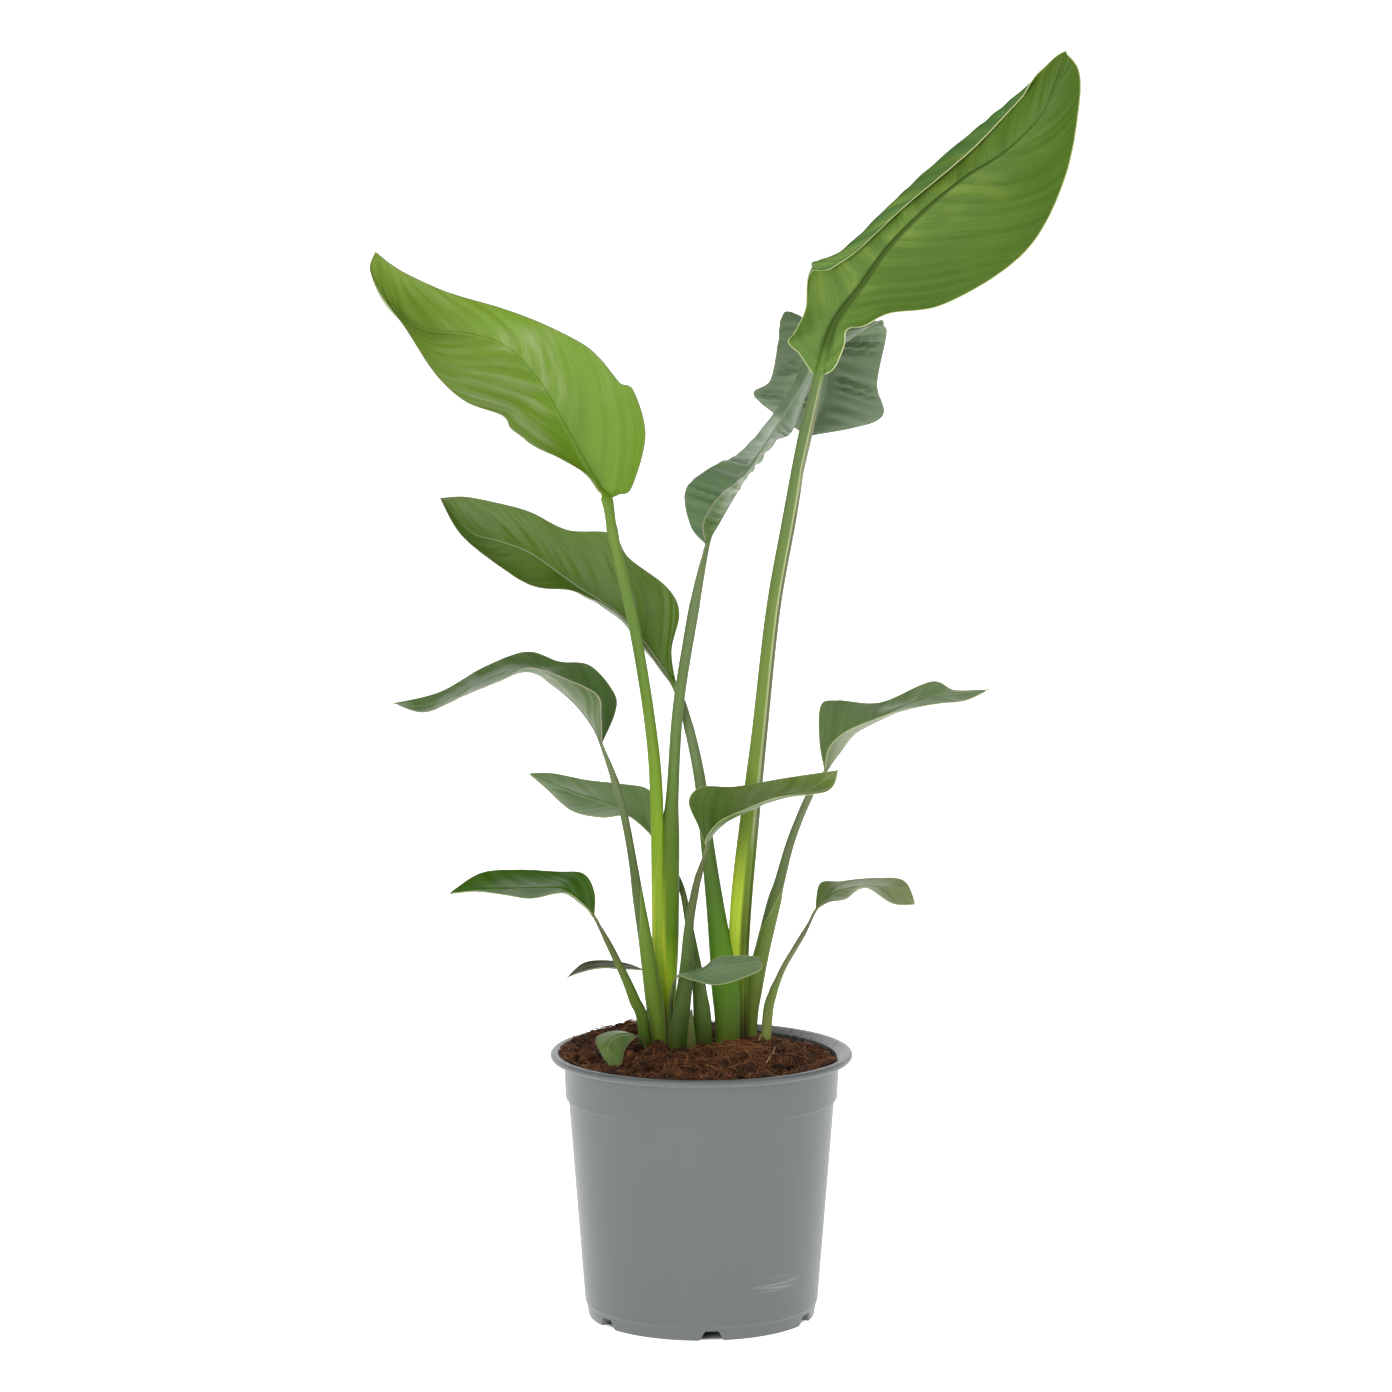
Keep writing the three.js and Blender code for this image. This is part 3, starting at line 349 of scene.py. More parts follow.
OWN_LOOKS = {
    "leaf_tall_front": {
        "slot": "leaf_bright", "upper": ("#4a7331", "#507931"), "under": ("#618531", "#54771d"),
        "stalk": (
            (168, "#4a4a1c"), (182, "#62701f"), (205, "#7b9a26"), (240, "#5f7618"), (330, "#7e9837"),
            (560, "#687f4a"),
        ),
        # its dark keel line is painted shade
        "keel": ("#3a560c", 0.95, 2.4, 0.95), "sweep": 0.75, "ripple": (0.3, 14.0), "gloss": 0.42,
        "sheen": 0.2, "margin": ("#d8dda0", 0.8), "bloom": ("#95ad45", 0.4),
        "seam": (0.42, "#b3bf86", "#8f9278", 290), "painted_sunlight": ("#c4e040", 196, 318, 0.05),
    },
    "leaf_tall_left": {
        "slot": "leaf_lime", "upper": ("#7f9f35", "#7f9f3c"), "under": ("#729b1e", "#8bac3a"),
        "stalk": (
            (168, "#5f6a1c"), (200, "#8aa52a"), (240, "#93b52c"), (300, "#8aaf1f"), (420, "#73953e"),
            (490, "#75953a"),
        ),
        "keel": ("#6d9230", 0.35, 0.8, 0.7), "sweep": 1.2, "ripple": (0.16, 15.0), "gloss": 0.36,
        "margin": ("#8b8a68", 0.7), "bloom": ("#cdd6ae", 0.34), "flare": 0.95,
        "sheath": (287, 35, "#c0e43c", "#8fb022"), "painted_sunlight": ("#d5ea48", 190, 300, -0.45),
    },
    "leaf_arched_back": {
        "slot": "leaf_blue_green", "upper": ("#729163", "#7f9776"), "under": ("#4c7018", "#7b8f72"),
        "stalk": (
            (168, "#7a7a28"), (188, "#a3a838"), (212, "#aed428"), (240, "#638b0c"), (300, "#5f7d24"),
            (360, "#718d4a"), (470, "#7a8a5d"),
        ),
        "keel": ("#4b6632", 0.5, 0.5, 1.1), "sweep": 0.12, "ripple": (1.5, 7.4), "calm": (5.9, 1.5),
        "gloss": 0.34, "sheen": 0.2, "margin": ("#a59d90", 0.7), "bloom": ("#aab0a4", 0.18),
        "painted_sunlight": ("#ccd53a", 188, 290, -0.2),
    },
    "leaf_olive_left": {
        "slot": "leaf_olive", "upper": ("#4f6f2a", "#4e652c"), "under": ("#658924", "#5e7f24"),
        "stalk": (
            (168, "#667c1f"), (190, "#5f8420"), (213, "#69a01e"), (240, "#5b8a1c"), (290, "#56732c"),
            (370, "#7c8f5e"),
        ),
        # its pale keel line is a painted highlight
        "keel": ("#b0ba98", 0.85, 0.55, 1.1), "sweep": 0.9, "ripple": (0.3, 12.0), "gloss": 0.36,
        "margin": ("#8d8670", 0.7), "bloom": ("#8e9d68", 0.25),
    },
    "leaf_left_upper": {
        "upper": ("#4e6e32", "#658645"), "under": ("#516930", "#5c7144"),
        "stalk": ((168, "#5f7030"), (225, "#5d7838"), (290, "#5c6e39"), (345, "#718153")),
        "keel": ("#52702e", 0.4, 0.5, 1.1), "ripple": (0.3, 10.0), "gloss": 0.36,
        "margin": ("#b5ad98", 0.7), "bloom": ("#b4bba8", 0.42), "sheath": (256, 20, "#7c992c", "#6d902c"),
    },
    "leaf_right_upper": {
        "upper": ("#749051", "#829c69"), "under": ("#6b7c4a", "#a0aa90"),
        "stalk": ((168, "#5d6c34"), (254, "#66793f"), (330, "#85936d")), "keel": ("#4c662e", 0.4, 0.5, 1.1),
        "ripple": (0.3, 10.0), "bloom": ("#a9b396", 0.35), "sheath": (254, 16, "#829934", "#788f44"),
    },
    "leaf_right_lower": {
        "upper": ("#5e7832", "#9aa974"), "under": ("#64744a", "#6f8054"),
        "stalk": ((168, "#6a7038"), (205, "#99a369"), (250, "#6f6e54")), "keel": ("#56703a", 0.4, 0.5, 1.1),
        "ripple": (0.2, 8.0), "gloss": 0.4, "sheath": (206, 8, "#b0c068", "#8ca850"),
    },
    "leaf_left_behind": {
        "upper": ("#82a261", "#89a66c"), "under": ("#55642d", "#66754a"),
        "stalk": ((168, "#46601c"), (236, "#56702e"), (290, "#606f42")), "keel": ("#4c622c", 0.4, 0.5, 1.1),
        "ripple": (0.2, 9.0), "sheath": (222, -20, "#526a10", "#64823a"),
    },
    "leaf_centre_front": {
        "upper": ("#385d08", "#839b47"), "under": ("#4f6b28", "#5c7136"),
        "stalk": ((168, "#455e10"), (240, "#567030"), (290, "#646940")), "ripple": (0.25, 9.0),
        "gloss": 0.36,
    },
    "leaf_left_lower": {
        "upper": ("#437010", "#467808"), "under": ("#5c7636", "#68784a"),
        "stalk": ((168, "#4c6e20"), (205, "#6b852d"), (250, "#6b6e4e")), "keel": ("#4a662c", 0.4, 0.5, 1.1),
        "ripple": (0.25, 9.0), "sheen": 0.1,
    },
    "leaf_small_left": {
        "upper": ("#364109", "#3f480a"), "under": ("#4b5a28", "#5b6238"),
        "stalk": ((168, "#465f20"), (215, "#566430")), "keel": ("#46582a", 0.3, 0.5, 1.1),
        "ripple": (0.1, 7.0), "gloss": 0.42, "sheen": 0.08,
    },
    "leaf_small_front": {
        "upper": ("#789567", "#849d6f"), "under": ("#566b41", "#5f7349"),
        "stalk": ((168, "#43601e"), (215, "#56693a")), "keel": ("#4c6238", 0.3, 0.5, 1.1),
        "ripple": (0.15, 7.0), "gloss": 0.36, "sheen": 0.2,
    },
    "leaf_folded_front": {
        "upper": ("#54791f", "#648030"), "under": ("#4a6a2c", "#587040"),
        "stalk": ((168, "#3c561c"), (180, "#466428")), "keel": ("#42602a", 0.3, 0.5, 1.1), "sweep": 0.6,
        "ripple": (0.1, 6.0), "gloss": 0.4,
    },
    "young_shoot": {
        "slot": "leaf_lime", "upper": ("#5f7c2c", "#6c8834"), "under": ("#5f7c2c", "#6c8834"),
        "stalk": ((168, "#6a5a30"), (178, "#5a7426"), (190, "#668030"), (198, "#4c5a2a")),
        "keel": ("#52702e", 0.0, 0.5, 1.1), "sweep": 0.6, "ripple": (0.0, 6.0), "gloss": 0.42,
    },
}
LOOKS = {name: EVERY_LEAF | own for name, own in OWN_LOOKS.items()}

TALL_LEAVES = ("leaf_tall_front", "leaf_tall_left", "leaf_arched_back", "leaf_olive_left")
YOUNG_LEAVES = ("leaf_small_left", "leaf_small_front", "leaf_folded_front")
SIDE_LEAVES = tuple(n for n in LEAVES if n not in TALL_LEAVES + YOUNG_LEAVES)

# A young pointed shoot at the foot of the plant: centre and radius.
SHOOT = (
    (-6.4, -19.5, 140, 2.4), (-6.4, -19.5, 174, 3), (-6.4, -19.3, 184, 2.3), (-6.4, -18.6, 192, 1.4),
    (-6.3, -18, 198, 0.5),
)

# The pot wall, in millimetres: radius and height, outside from the middle of
# the underside up to the rim, then inside down to the floor.
POT_OUTSIDE = (
    (0, 0), (34, 0), (36, 4), (65, 4), (66, 0), (71.4, 0), (72.8, 8), (73.6, 9.2), (83.7, 138.5),
    (85.6, 139.5), (86.5, 163.8), (93.8, 163.8), (95, 165.2), (95, 167.2), (93.8, 168.4),
)
POT_INSIDE = (
    (91.4, 168.4), (85, 165.4), (84.1, 140.5), (82.2, 138), (72.1, 10), (69.6, 7), (0, 7),
)
# The notches in its foot: their outline across and up, and the turn of the first one.
NOTCH = ((-8.2, -1), (8.2, -1), (4.2, 6.2), (-4.2, 6.2))
NOTCHES = 6
NOTCH_TURN = 5

# The soil's edge lies on the sloping inside of the rim, from its foot to its
# top, as radius and height; its body under that follows the wall.
RIM_FOOT = (83.8, 162.0)
RIM_TOP = (90.0, 168.4)
SOIL_SIDE = ((0, 7.5), (69.4, 7.5), (71.6, 10), (81.7, 138), (83.6, 140.9), (83.7, 155))


def linear(text):
    """Linear colour, with alpha, of an sRGB hex value."""
    parts = [int(text[i:i + 2], 16) / 255 for i in (1, 3, 5)]
    parts = [c / 12.92 if c <= 0.04045 else ((c + 0.055) / 1.055) ** 2.4 for c in parts]
    return (*parts, 1.0)


def mix(a, b, t):
    return a + (b - a) * t


def ease(x, a, b):
    """Smooth step from 0 at a to 1 at b."""
    t = np.clip((x - a) / (b - a), 0, 1)
    return t * t * (3 - 2 * t)


def unit(rows):
    """Rows of vectors at length 1; a vector without length stays zero."""
    size = np.linalg.norm(rows, axis=-1, keepdims=True)
    return rows / np.maximum(size, 1e-9)


def dot(a, b):
    return (a * b).sum(-1, keepdims=True)


def along(rows, u):
    """Smooth curve through rows of numbers, at the places u, counted in rows."""
    rows = np.asarray(rows, float)
    last = len(rows) - 1
    i = np.clip(np.floor(u).astype(int), 0, last - 1)
    t = np.clip(u - i, 0, 1)[:, None]
    a, b, c, d = rows[np.maximum(i - 1, 0)], rows[i], rows[i + 1], rows[np.minimum(i + 2, last)]
    s = 1 - t
    return (
        b * (1 + 2 * t) * s * s
        + (c - a) / 2 * t * s * s
        + c * t * t * (3 - 2 * t)
        - (d - b) / 2 * t * t * s
    )


def closed_skin(rings, notes):
    """Points, faces and notes of a closed skin over rings of points.

    Points that fall together become one. notes maps the name of a vertex
    attribute to its values, in the shape of the rings.
    """
    rows, columns, _ = rings.shape
    flat = rings.reshape(-1, 3)
    _, first, back = np.unique(np.round(flat / 1e-3), axis=0, return_index=True, return_inverse=True)
    ids = back.reshape(rows, columns)
    points = [tuple(p) for p in flat[first]]
    values = {k: [tuple(x) for x in v.reshape(-1, 3)[first]] for k, v in notes.items()}
    beside = np.roll(ids, -1, 1)
    quads = np.stack([ids[:-1], beside[:-1], beside[1:], ids[1:]], -1).reshape(-1, 4)
    faces = []
    for quad in quads.tolist():
        loop = [p for i, p in enumerate(quad) if p != quad[i - 1]]
        if len(loop) > 2 and len(set(loop)) == len(loop):
            faces.append(loop)
    for row in (0, rows - 1):
        ring = [p for i, p in enumerate(ids[row].tolist()) if p != ids[row][i - 1]]
        if len(set(ring)) < 3:
            continue
        hub = len(points)
        points.append(tuple(rings[row].mean(0)))
        for k, v in notes.items():
            values[k].append(tuple(v[row].mean(0)))
        for a, b in zip(ring, ring[1:] + ring[:1]):
            if a != b:
                faces.append([hub, a, b] if row else [hub, b, a])
    return points, faces, values


def new_piece(name, points, faces, values, material, slot, replaced=(), crease=50):
    """Makes a mesh piece from points in millimetres and puts it on the plant."""
    mesh = bpy.data.meshes.new(name)
    mesh.from_pydata([(x * MM, y * MM, z * MM) for x, y, z in points], [], faces)
    mesh.validate()
    for key, rows in values.items():
        layer = mesh.attributes.new(key, "FLOAT_VECTOR", "POINT")
        layer.data.foreach_set("vector", np.array(rows, np.float32).ravel())
    mesh.shade_smooth()
    mesh.set_sharp_from_angle(angle=math.radians(crease))
    mesh.materials.append(material)
    piece = bpy.data.objects.new(name, mesh)
    bpy.context.collection.objects.link(piece)
    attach(piece, BODY)
    if replaced:
        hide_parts(*replaced)
    return piece


def add(tree, kind, inputs=(), settings=None, output=0, stops=()):
    """Adds a node and gives one of its outputs, or all of them where output is None.

    inputs holds numbers, colours or outputs of other nodes, in the order of
    the node's sockets or by their names. stops are the colours of a ramp.
    """
    node = tree.nodes.new("ShaderNode" + kind)
    for key, value in (settings or {}).items():
        setattr(node, key, value)
    for key, value in inputs.items() if isinstance(inputs, dict) else enumerate(inputs):
        if isinstance(value, bpy.types.NodeSocket):
            tree.links.new(value, node.inputs[key])
        else:
            node.inputs[key].default_value = value
    if stops:
        elements = node.color_ramp.elements
        while len(elements) < len(stops):
            elements.new(0.5)
        for element, (place, colour) in zip(elements, stops):
            element.position = place
            element.color = colour
    return node.outputs if output is None else node.outputs[output]


def new_finish(name, **even):
    """A material whose even values are set here, and the function that adds its nodes."""
    material = bpy.data.materials.new(name)
    material.use_nodes = True
    surface = material.node_tree.nodes["Principled BSDF"]
    for key, value in even.items():
        surface.inputs[key.replace("_", " ")].default_value = value
    return material, partial(add, material.node_tree)


def finished(material, **outputs):
    """The material, with the outputs of its nodes led to its shader."""
    tree = material.node_tree
    for key, output in outputs.items():
        tree.links.new(output, tree.nodes["Principled BSDF"].inputs[key.replace("_", " ")])
    return material


# Settings of nodes. A MapRange with SOFT runs from its fourth number to its
# fifth while its value runs from the second number to the third.
TIMES = {"operation": "MULTIPLY"}
LESS = {"operation": "SUBTRACT"}
SHARE = {"operation": "DIVIDE"}
SIZE = {"operation": "ABSOLUTE"}
LENGTH = {"operation": "LENGTH"}
SOFT = {"interpolation_type": "SMOOTHSTEP"}
LAYER = {"data_type": "RGBA"}
PRODUCT = {"data_type": "RGBA", "blend_type": "MULTIPLY"}


def grey_stops(low, high, dark):
    """Ramp from a dark grey at low to white at high."""
    return ((low, (dark, dark, dark, 1.0)), (high, (1.0, 1.0, 1.0, 1.0)))


def under_grey(node, colour, pattern, low, high, dark):
    """The colour, darkened where the pattern is low."""
    tone = node("ValToRGB", (pattern,), stops=grey_stops(low, high, dark))
    return node("Mix", {0: 1.0, 6: colour, 7: tone}, PRODUCT, 2)


def painted(node, colour, *layers):
    """The colour under layers of paint, each one a mask and its colour."""
    for mask, paint in layers:
        colour = node("Mix", {0: mask, 6: colour, 7: paint}, LAYER, 2)
    return colour


def streaks(node, across, along_it, face, wide, long, detail):
    """Noise in streaks of a width and a length in millimetres, its own on each face."""
    x, y = node("Math", (across, wide), SHARE), node("Math", (along_it, long), SHARE)
    at = node("CombineXYZ", (x, y, face))
    return node("TexNoise", {"Vector": at, "Detail": detail, "Scale": 1.0})


def blade_colour(node, look, foliage, span, place, kind, spot, wide, fine, veins):
    """Both faces of a blade: from foot to tip, with painted sheen patches, side veins and midrib."""
    length, vein, edge = place
    share = node("MapRange", (length, 0.0, span))
    upper, under = (
        node("Mix", {0: share, 6: linear(look[face][0]), 7: linear(look[face][1])}, LAYER, 2)
        for face in ("upper", "under")
    )
    is_upper = node("Math", (kind[0], 0.0), {"operation": "GREATER_THAN"})
    lamina = painted(node, under, (is_upper, upper))
    lamina = under_grey(node, lamina, wide, 0.34, 0.66, 0.86)
    lamina = under_grey(node, lamina, fine, 0.3, 0.7, 0.9)

    # Painted sheen: pale patches of wax, in a few places and drawn out along the veins, that stand in for
    # glossy highlights.
    bloom, most = look["bloom"]
    drift = streaks(node, vein, edge, kind[0], 11.0, 26.0, 3.0)
    area = node("TexNoise", {"Vector": spot, "Scale": 1 / (58.8 * MM), "Detail": 1.0})
    drift = node("MapRange", (drift, 0.72, 0.36, most, 0.0), SOFT)
    area = node("MapRange", (area, 0.68, 0.44, 1.0, 0.0), SOFT)
    sheen_patch = node("Math", (drift, area), TIMES)

    # Midrib: a slightly paler channel above; below, a line on the raised keel,
    # wide at the foot of the blade and thin towards the tip. Its colour is painted
    # shade where it is darker, and painted highlight where it is paler.
    keel, strong, reach, gone = look["keel"]
    above = node("Math", (node("MapRange", (kind[2], 0.6, 1.2, 0.3, 0.0), SOFT), is_upper), TIMES)
    thin = node("MapRange", (share, 0.0, 0.9, reach, 0.3))
    line = node("MapRange", (node("Math", (kind[2], thin), SHARE), 0.4, 1.5, strong, 0.0), SOFT)
    for full, none in ((gone - 0.3, gone), (0.1, 0.03)):
        line = node("Math", (line, node("MapRange", (share, full, none, 1.0, 0.0), SOFT)), TIMES)
    below = node("Math", (line, node("Math", (1.0, is_upper), LESS)), TIMES)
    pale = tuple(foliage.vein_colour)
    return painted(
        node, lamina, (node("Math", (veins, 0.06), TIMES), pale), (sheen_patch, linear(bloom)), (above, pale),
        (below, linear(keel)),
    )


def stalk_colour(node, look, foliage, around, height, cords):
    """A stalk: colours by height, its channel's rim, older sheaths, painted light on its left side and
    painted shade on its right side.
    """
    low, high = look["stalk"][0][0], look["stalk"][-1][0]
    stops = [((z - low) / (high - low), linear(c)) for z, c in look["stalk"]]
    stalk = node("ValToRGB", (node("MapRange", (height, low * MM, high * MM)),), stops=stops)
    if "seam" in look:
        # The rim of the stalk's channel: a pale line, and a greyish strip past it.
        at, pale, strip, from_z = look["seam"]
        tall = node("MapRange", (height, (from_z + 25) * MM, from_z * MM, 1.0, 0.0), SOFT)
        past = node("MapRange", (around, at + 0.12, at, 0.75, 0.0), SOFT)
        off = node("Math", (node("Math", (around, at), LESS),), SIZE)
        line = node("MapRange", (off, 0.06, 0.2, 0.8, 0.0), SOFT)
        stalk = painted(
            node, stalk, (node("Math", (past, tall), TIMES), linear(strip)),
            (node("Math", (line, tall), TIMES), linear(pale)),
        )
    if "sheath" in look:
        # The sheath of an older leaf: it ends in a slanting edge with a thin pale rim.
        step, slant, bottom, top = look["sheath"]
        level = node("Math", (around, -slant * MM, height), {"operation": "MULTIPLY_ADD"})
        climb = node("MapRange", (height, SOIL_LEVEL * MM, step * MM))
        wrap = painted(node, linear(bottom), (climb, linear(top)))
        off = node("Math", (node("Math", (level, step * MM), LESS),), SIZE)
        stalk = painted(
            node, stalk, (node("MapRange", (level, step * MM, (step + 1.5) * MM, 1.0, 0.0), SOFT), wrap),
            (node("MapRange", (off, 0.3 * MM, 1.6 * MM, 0.5, 0.0), SOFT), tuple(foliage.vein_colour)),
        )
    # Painted light: the left side of the stalk paler, as if lit, between two heights.
    if "painted_sunlight" in look:
        sun, from_z, to_z, limit = look["painted_sunlight"]
        lit = node("MapRange", (around, limit - 0.15, limit + 0.2, 1.0, 0.0), SOFT)
        for full, none in ((from_z + 20, from_z), (to_z - 70, to_z)):
            lit = node("Math", (lit, node("MapRange", (height, full * MM, none * MM, 1.0, 0.0), SOFT)), TIMES)
        stalk = painted(node, stalk, (lit, linear(sun)))
    stalk = under_grey(node, stalk, cords, 0.3, 0.7, 0.88)
    # Painted shade: the right side of the stalk a tenth darker.
    painted_right_shade = node("MapRange", (around, 0.35, 1.0, 1.0, 0.9))
    return node("Mix", {0: 1.0, 6: stalk, 7: painted_right_shade}, PRODUCT, 2)


def living_leaf_waxed(name, look, foliage, span):
    """Living leaf with its natural wax, grown: fine side veins, pale margin.

    The wax gives broad soft highlights, some of them painted as pale sheen
    patches, and the veins a faint corduroy of lighter lines that sweeps from
    the midrib to the margin. Its fibres are drawn 1.3 mm wide, coarser than
    the real ones, which would not show.
    """
    material, node = new_finish(
        name, Coat_Weight=0.03, Coat_Roughness=0.3, Specular_IOR_Level=look["sheen"],
    )
    place, kind, around = (
        node("SeparateXYZ", (node("Attribute", (), {"attribute_name": key}, "Vector"),), output=None)
        for key in ("leaf_place", "leaf_kind", "leaf_round")
    )
    length, vein, edge = place
    face, blade, _ = kind
    spot = node("TexCoord", output="Object")
    height = node("SeparateXYZ", (spot,), output="Z")

    # Streaks that follow the veins: wide bands, and fibres finer than a vein.
    wide = streaks(node, vein, edge, face, 8.0, 60.0, 2.0)
    fine = streaks(node, vein, edge, face, 1.3, 26.0, 3.0)
    cords = streaks(node, edge, length, face, 1.1, 60.0, 2.0)
    cloud = node("TexNoise", {"Vector": spot, "Scale": 1 / (41.7 * MM), "Detail": 3.0})

    # Side veins as thin raised lines, vein_spacing apart, clear only in some of the bands.
    phase = node("Math", (vein, math.tau / (foliage.vein_spacing / MM)), TIMES)
    veins = node("MapRange", (node("Math", (phase,), {"operation": "SINE"}), -0.2, 1.0))
    veins = node("Math", (veins, node("MapRange", (wide, 0.62, 0.4, 1.0, 0.0), SOFT)), TIMES)

    stalk = stalk_colour(node, look, foliage, around[0], height, cords)
    lamina = blade_colour(node, look, foliage, span, place, kind, spot, wide, fine, veins)

    # Margin: a thin line round the blade; on sheaths it dries brown near the soil.
    tint, most = look["margin"]
    width = foliage.margin_width / MM
    rim = node("MapRange", (edge, width * 0.5, width, most, 0.0), SOFT)
    rim = node("Math", (rim, node("MapRange", (blade, 0.0, 1.0, 0.15, 1.0))), TIMES)
    low_down = node("MapRange", (height, 180 * MM, 202 * MM, 1.0, 0.0), SOFT)
    worn = node("Math", (node("MapRange", (edge, 0.7, 2.2, 1.0, 0.0), SOFT), low_down), TIMES)
    worn = node("Math", (worn, cloud), TIMES)
    body = painted(node, stalk, (blade, lamina), (rim, linear(tint)), (worn, linear("#5a3c22")))
    body = under_grey(node, body, cloud, 0.3, 0.7, 0.92)

    # The blade is waxy, and the stalk duller.
    shine = node("MapRange", (wide, 0.3, 0.7, look["gloss"] - 0.06, look["gloss"] + 0.06))
    rough = node("Math", (shine, node("MapRange", (blade, 0.0, 1.0, 0.22, 0.0))), {"operation": "ADD"})
    raised = node("Math", (veins, blade), TIMES)
    relief = node("Math", (fine, 0.9, raised), {"operation": "MULTIPLY_ADD"})
    bump = node("Bump", {"Strength": 0.35, "Distance": 0.1 * MM, "Height": relief})
    return finished(material, Base_Color=body, Roughness=rough, Normal=bump)


def folded_edge(curl, v, line, up, cells=18):
    """The rolled-back border of a half blade: an arc, then a flat strip."""
    fall = (1 - ease(v, curl["fade"], curl["end"]))[:, None]
    rise = ease(v, curl["start"], curl["full"])[:, None] * fall
    roll = ease(v, curl["start"] - 1.2, curl["full"])[:, None] * np.minimum(1, 4 * fall)
    angle = np.radians(mix(20, curl["angle"], roll))
    arc = np.maximum(mix(1, curl["radius"] * angle, rise), 0.7 * angle)
    flat = mix(0.8, curl["flat"], rise)
    bent = cells - 4
    spot = line[-1].copy()
    ahead = unit(line[-1] - line[-2])
    points = []
    for j in range(1, cells + 1):
        turn = angle * min(1, (j - 0.5) / bent)
        step = ahead * np.cos(turn) - up * np.sin(turn)
        spot = spot + step * (arc / bent if j <= bent else flat / (cells - bent))
        points.append(spot)
    return points


def ripples(q, height, spacing, phase):
    """Soft uneven folds between the side veins, by vein place q."""
    beat = np.sin(q / spacing * math.tau + 1.7 * np.sin(q / spacing * 1.43 + phase) + phase)
    return height * beat * (0.65 + 0.35 * np.sin(q / spacing * 1.9 + 2 * phase))


def walked(points):
    """Length walked along each row of points, from its first point."""
    steps = np.linalg.norm(np.diff(points, axis=1), axis=2)
    return np.concatenate([np.zeros((len(points), 1)), steps.cumsum(1)], 1)


def blade_edge(leaf, key):
    """Rows of points along one edge of a blade, from the midrib to the midrib."""
    return np.array([leaf["rib"][0], *leaf[key], leaf["rib"][-1]], float)


def leaf_frame(leaf, steps):
    """Stations along a leaf, in rows of its table, with their centres and directions.

    u counts from the lower end of the stalk and v from the foot of the blade.
    """
    stem, rib = np.array(leaf["stem"], float), np.array(leaf["rib"], float)
    left, right = blade_edge(leaf, "left"), blade_edge(leaf, "right")
    path = np.vstack([stem[:, :3], rib])
    last = len(path) - 1
    u = np.linspace(0, last, last * steps + 1)
    v = u - len(stem)
    at = along(path, u)
    ahead = unit(along(path, np.minimum(u + 0.05, last)) - along(path, np.maximum(u - 0.05, 0)))
    # A blade's own tilt is read a little way in from its two ends.
    inner = np.clip(v, 0.4, len(rib) - 1.35)
    hub = along(rib, inner)
    side = unit(along(right, inner) - hub) - unit(along(left, inner) - hub)
    side = unit(side - ahead * dot(side, ahead))
    up = np.cross(side, ahead)
    # The stalk's channel faces its own way, and turns into the blade.
    channel = math.radians(leaf.get("channel", 90))
    facing = np.array((math.cos(channel), math.sin(channel), 0.0))
    turn = (np.arctan2(side @ facing, up @ facing) * (1 - ease(v, -2.0, 0.1)))[:, None]
    side, up = side * np.cos(turn) - up * np.sin(turn), up * np.cos(turn) + side * np.sin(turn)
    return u, v, at, ahead, side, up


def stalk_size(leaf, look, u, v):
    """Width and depth at each station: of the stalk, then of the midrib that it thins out to."""
    sizes = np.array(leaf["stem"], float)[:, 3:]
    size = np.where(v[:, None] < -1, along(sizes, np.clip(u, 0, len(sizes) - 1)), sizes[-1])
    thinner = mix(1, 0.2, np.sqrt(np.clip((v + 1) / len(leaf["rib"]), 0, 1)))
    size = size * np.where(v > -1, thinner, 1)[:, None]
    # The blade runs down the stalk a little way and widens its foot.
    flare = look["flare"] * np.exp(-(((v - 0.15) / 0.45) ** 2))
    return size[:, :1] * (1 + flare)[:, None], size[:, 1:]


def half_blade(leaf, n, v, ahead, start, columns):
    """Points from the midrib out to the left (n 0) or right (n 1) edge, and where there is no blade."""
    outer = blade_edge(leaf, ("left", "right")[n])
    end = np.where(v[:, None] > 0, along(outer, np.clip(v, 0, None)), start)
    span = np.linalg.norm(end - start, axis=1, keepdims=True)
    rise = unit(np.cross(end - start, ahead)) * (2 * n - 1)
    bend = (start + end) / 2 + rise * 2 * leaf["bow"][n] * span
    line = [
        start * (1 - t) ** 2 + bend * 2 * t * (1 - t) + end * t * t
        for t in np.linspace(0, 1, columns + 1)
    ]
    if n == 1 and "curl" in leaf:
        line += folded_edge(leaf["curl"], v, line, rise)
    line = np.stack(line, 1)
    flat = (v <= 0) | (span[:, 0] < 0.8) | (v >= len(outer) - 1)
    line[flat] = start[flat, None]
    return line, flat


def folds(look, v, vein, share, half, is_left):
    """Height of the soft folds over a blade; half is the width of the half blade."""
    tip = v[-1]
    window = ease(share, 0.06, 0.3) * (1 - 0.7 * ease(share, 0.8, 1.0))
    window = window * (ease(v, 0.2, 1.5) * (1 - ease(v, tip - 1.2, tip - 0.2)))[:, None]
    if "calm" in look:
        # Where the blade turns over, its folds are pulled flat.
        station, wide = look["calm"]
        window = window * (1 - 0.85 * np.exp(-(((v - station) / wide) ** 2)))[:, None]
    # A half that is narrow has no room for folds.
    window = window * ease(half, 4, 14)
    return ripples(vein, *look["ripple"], np.where(is_left, 0.0, 2.1)) * window


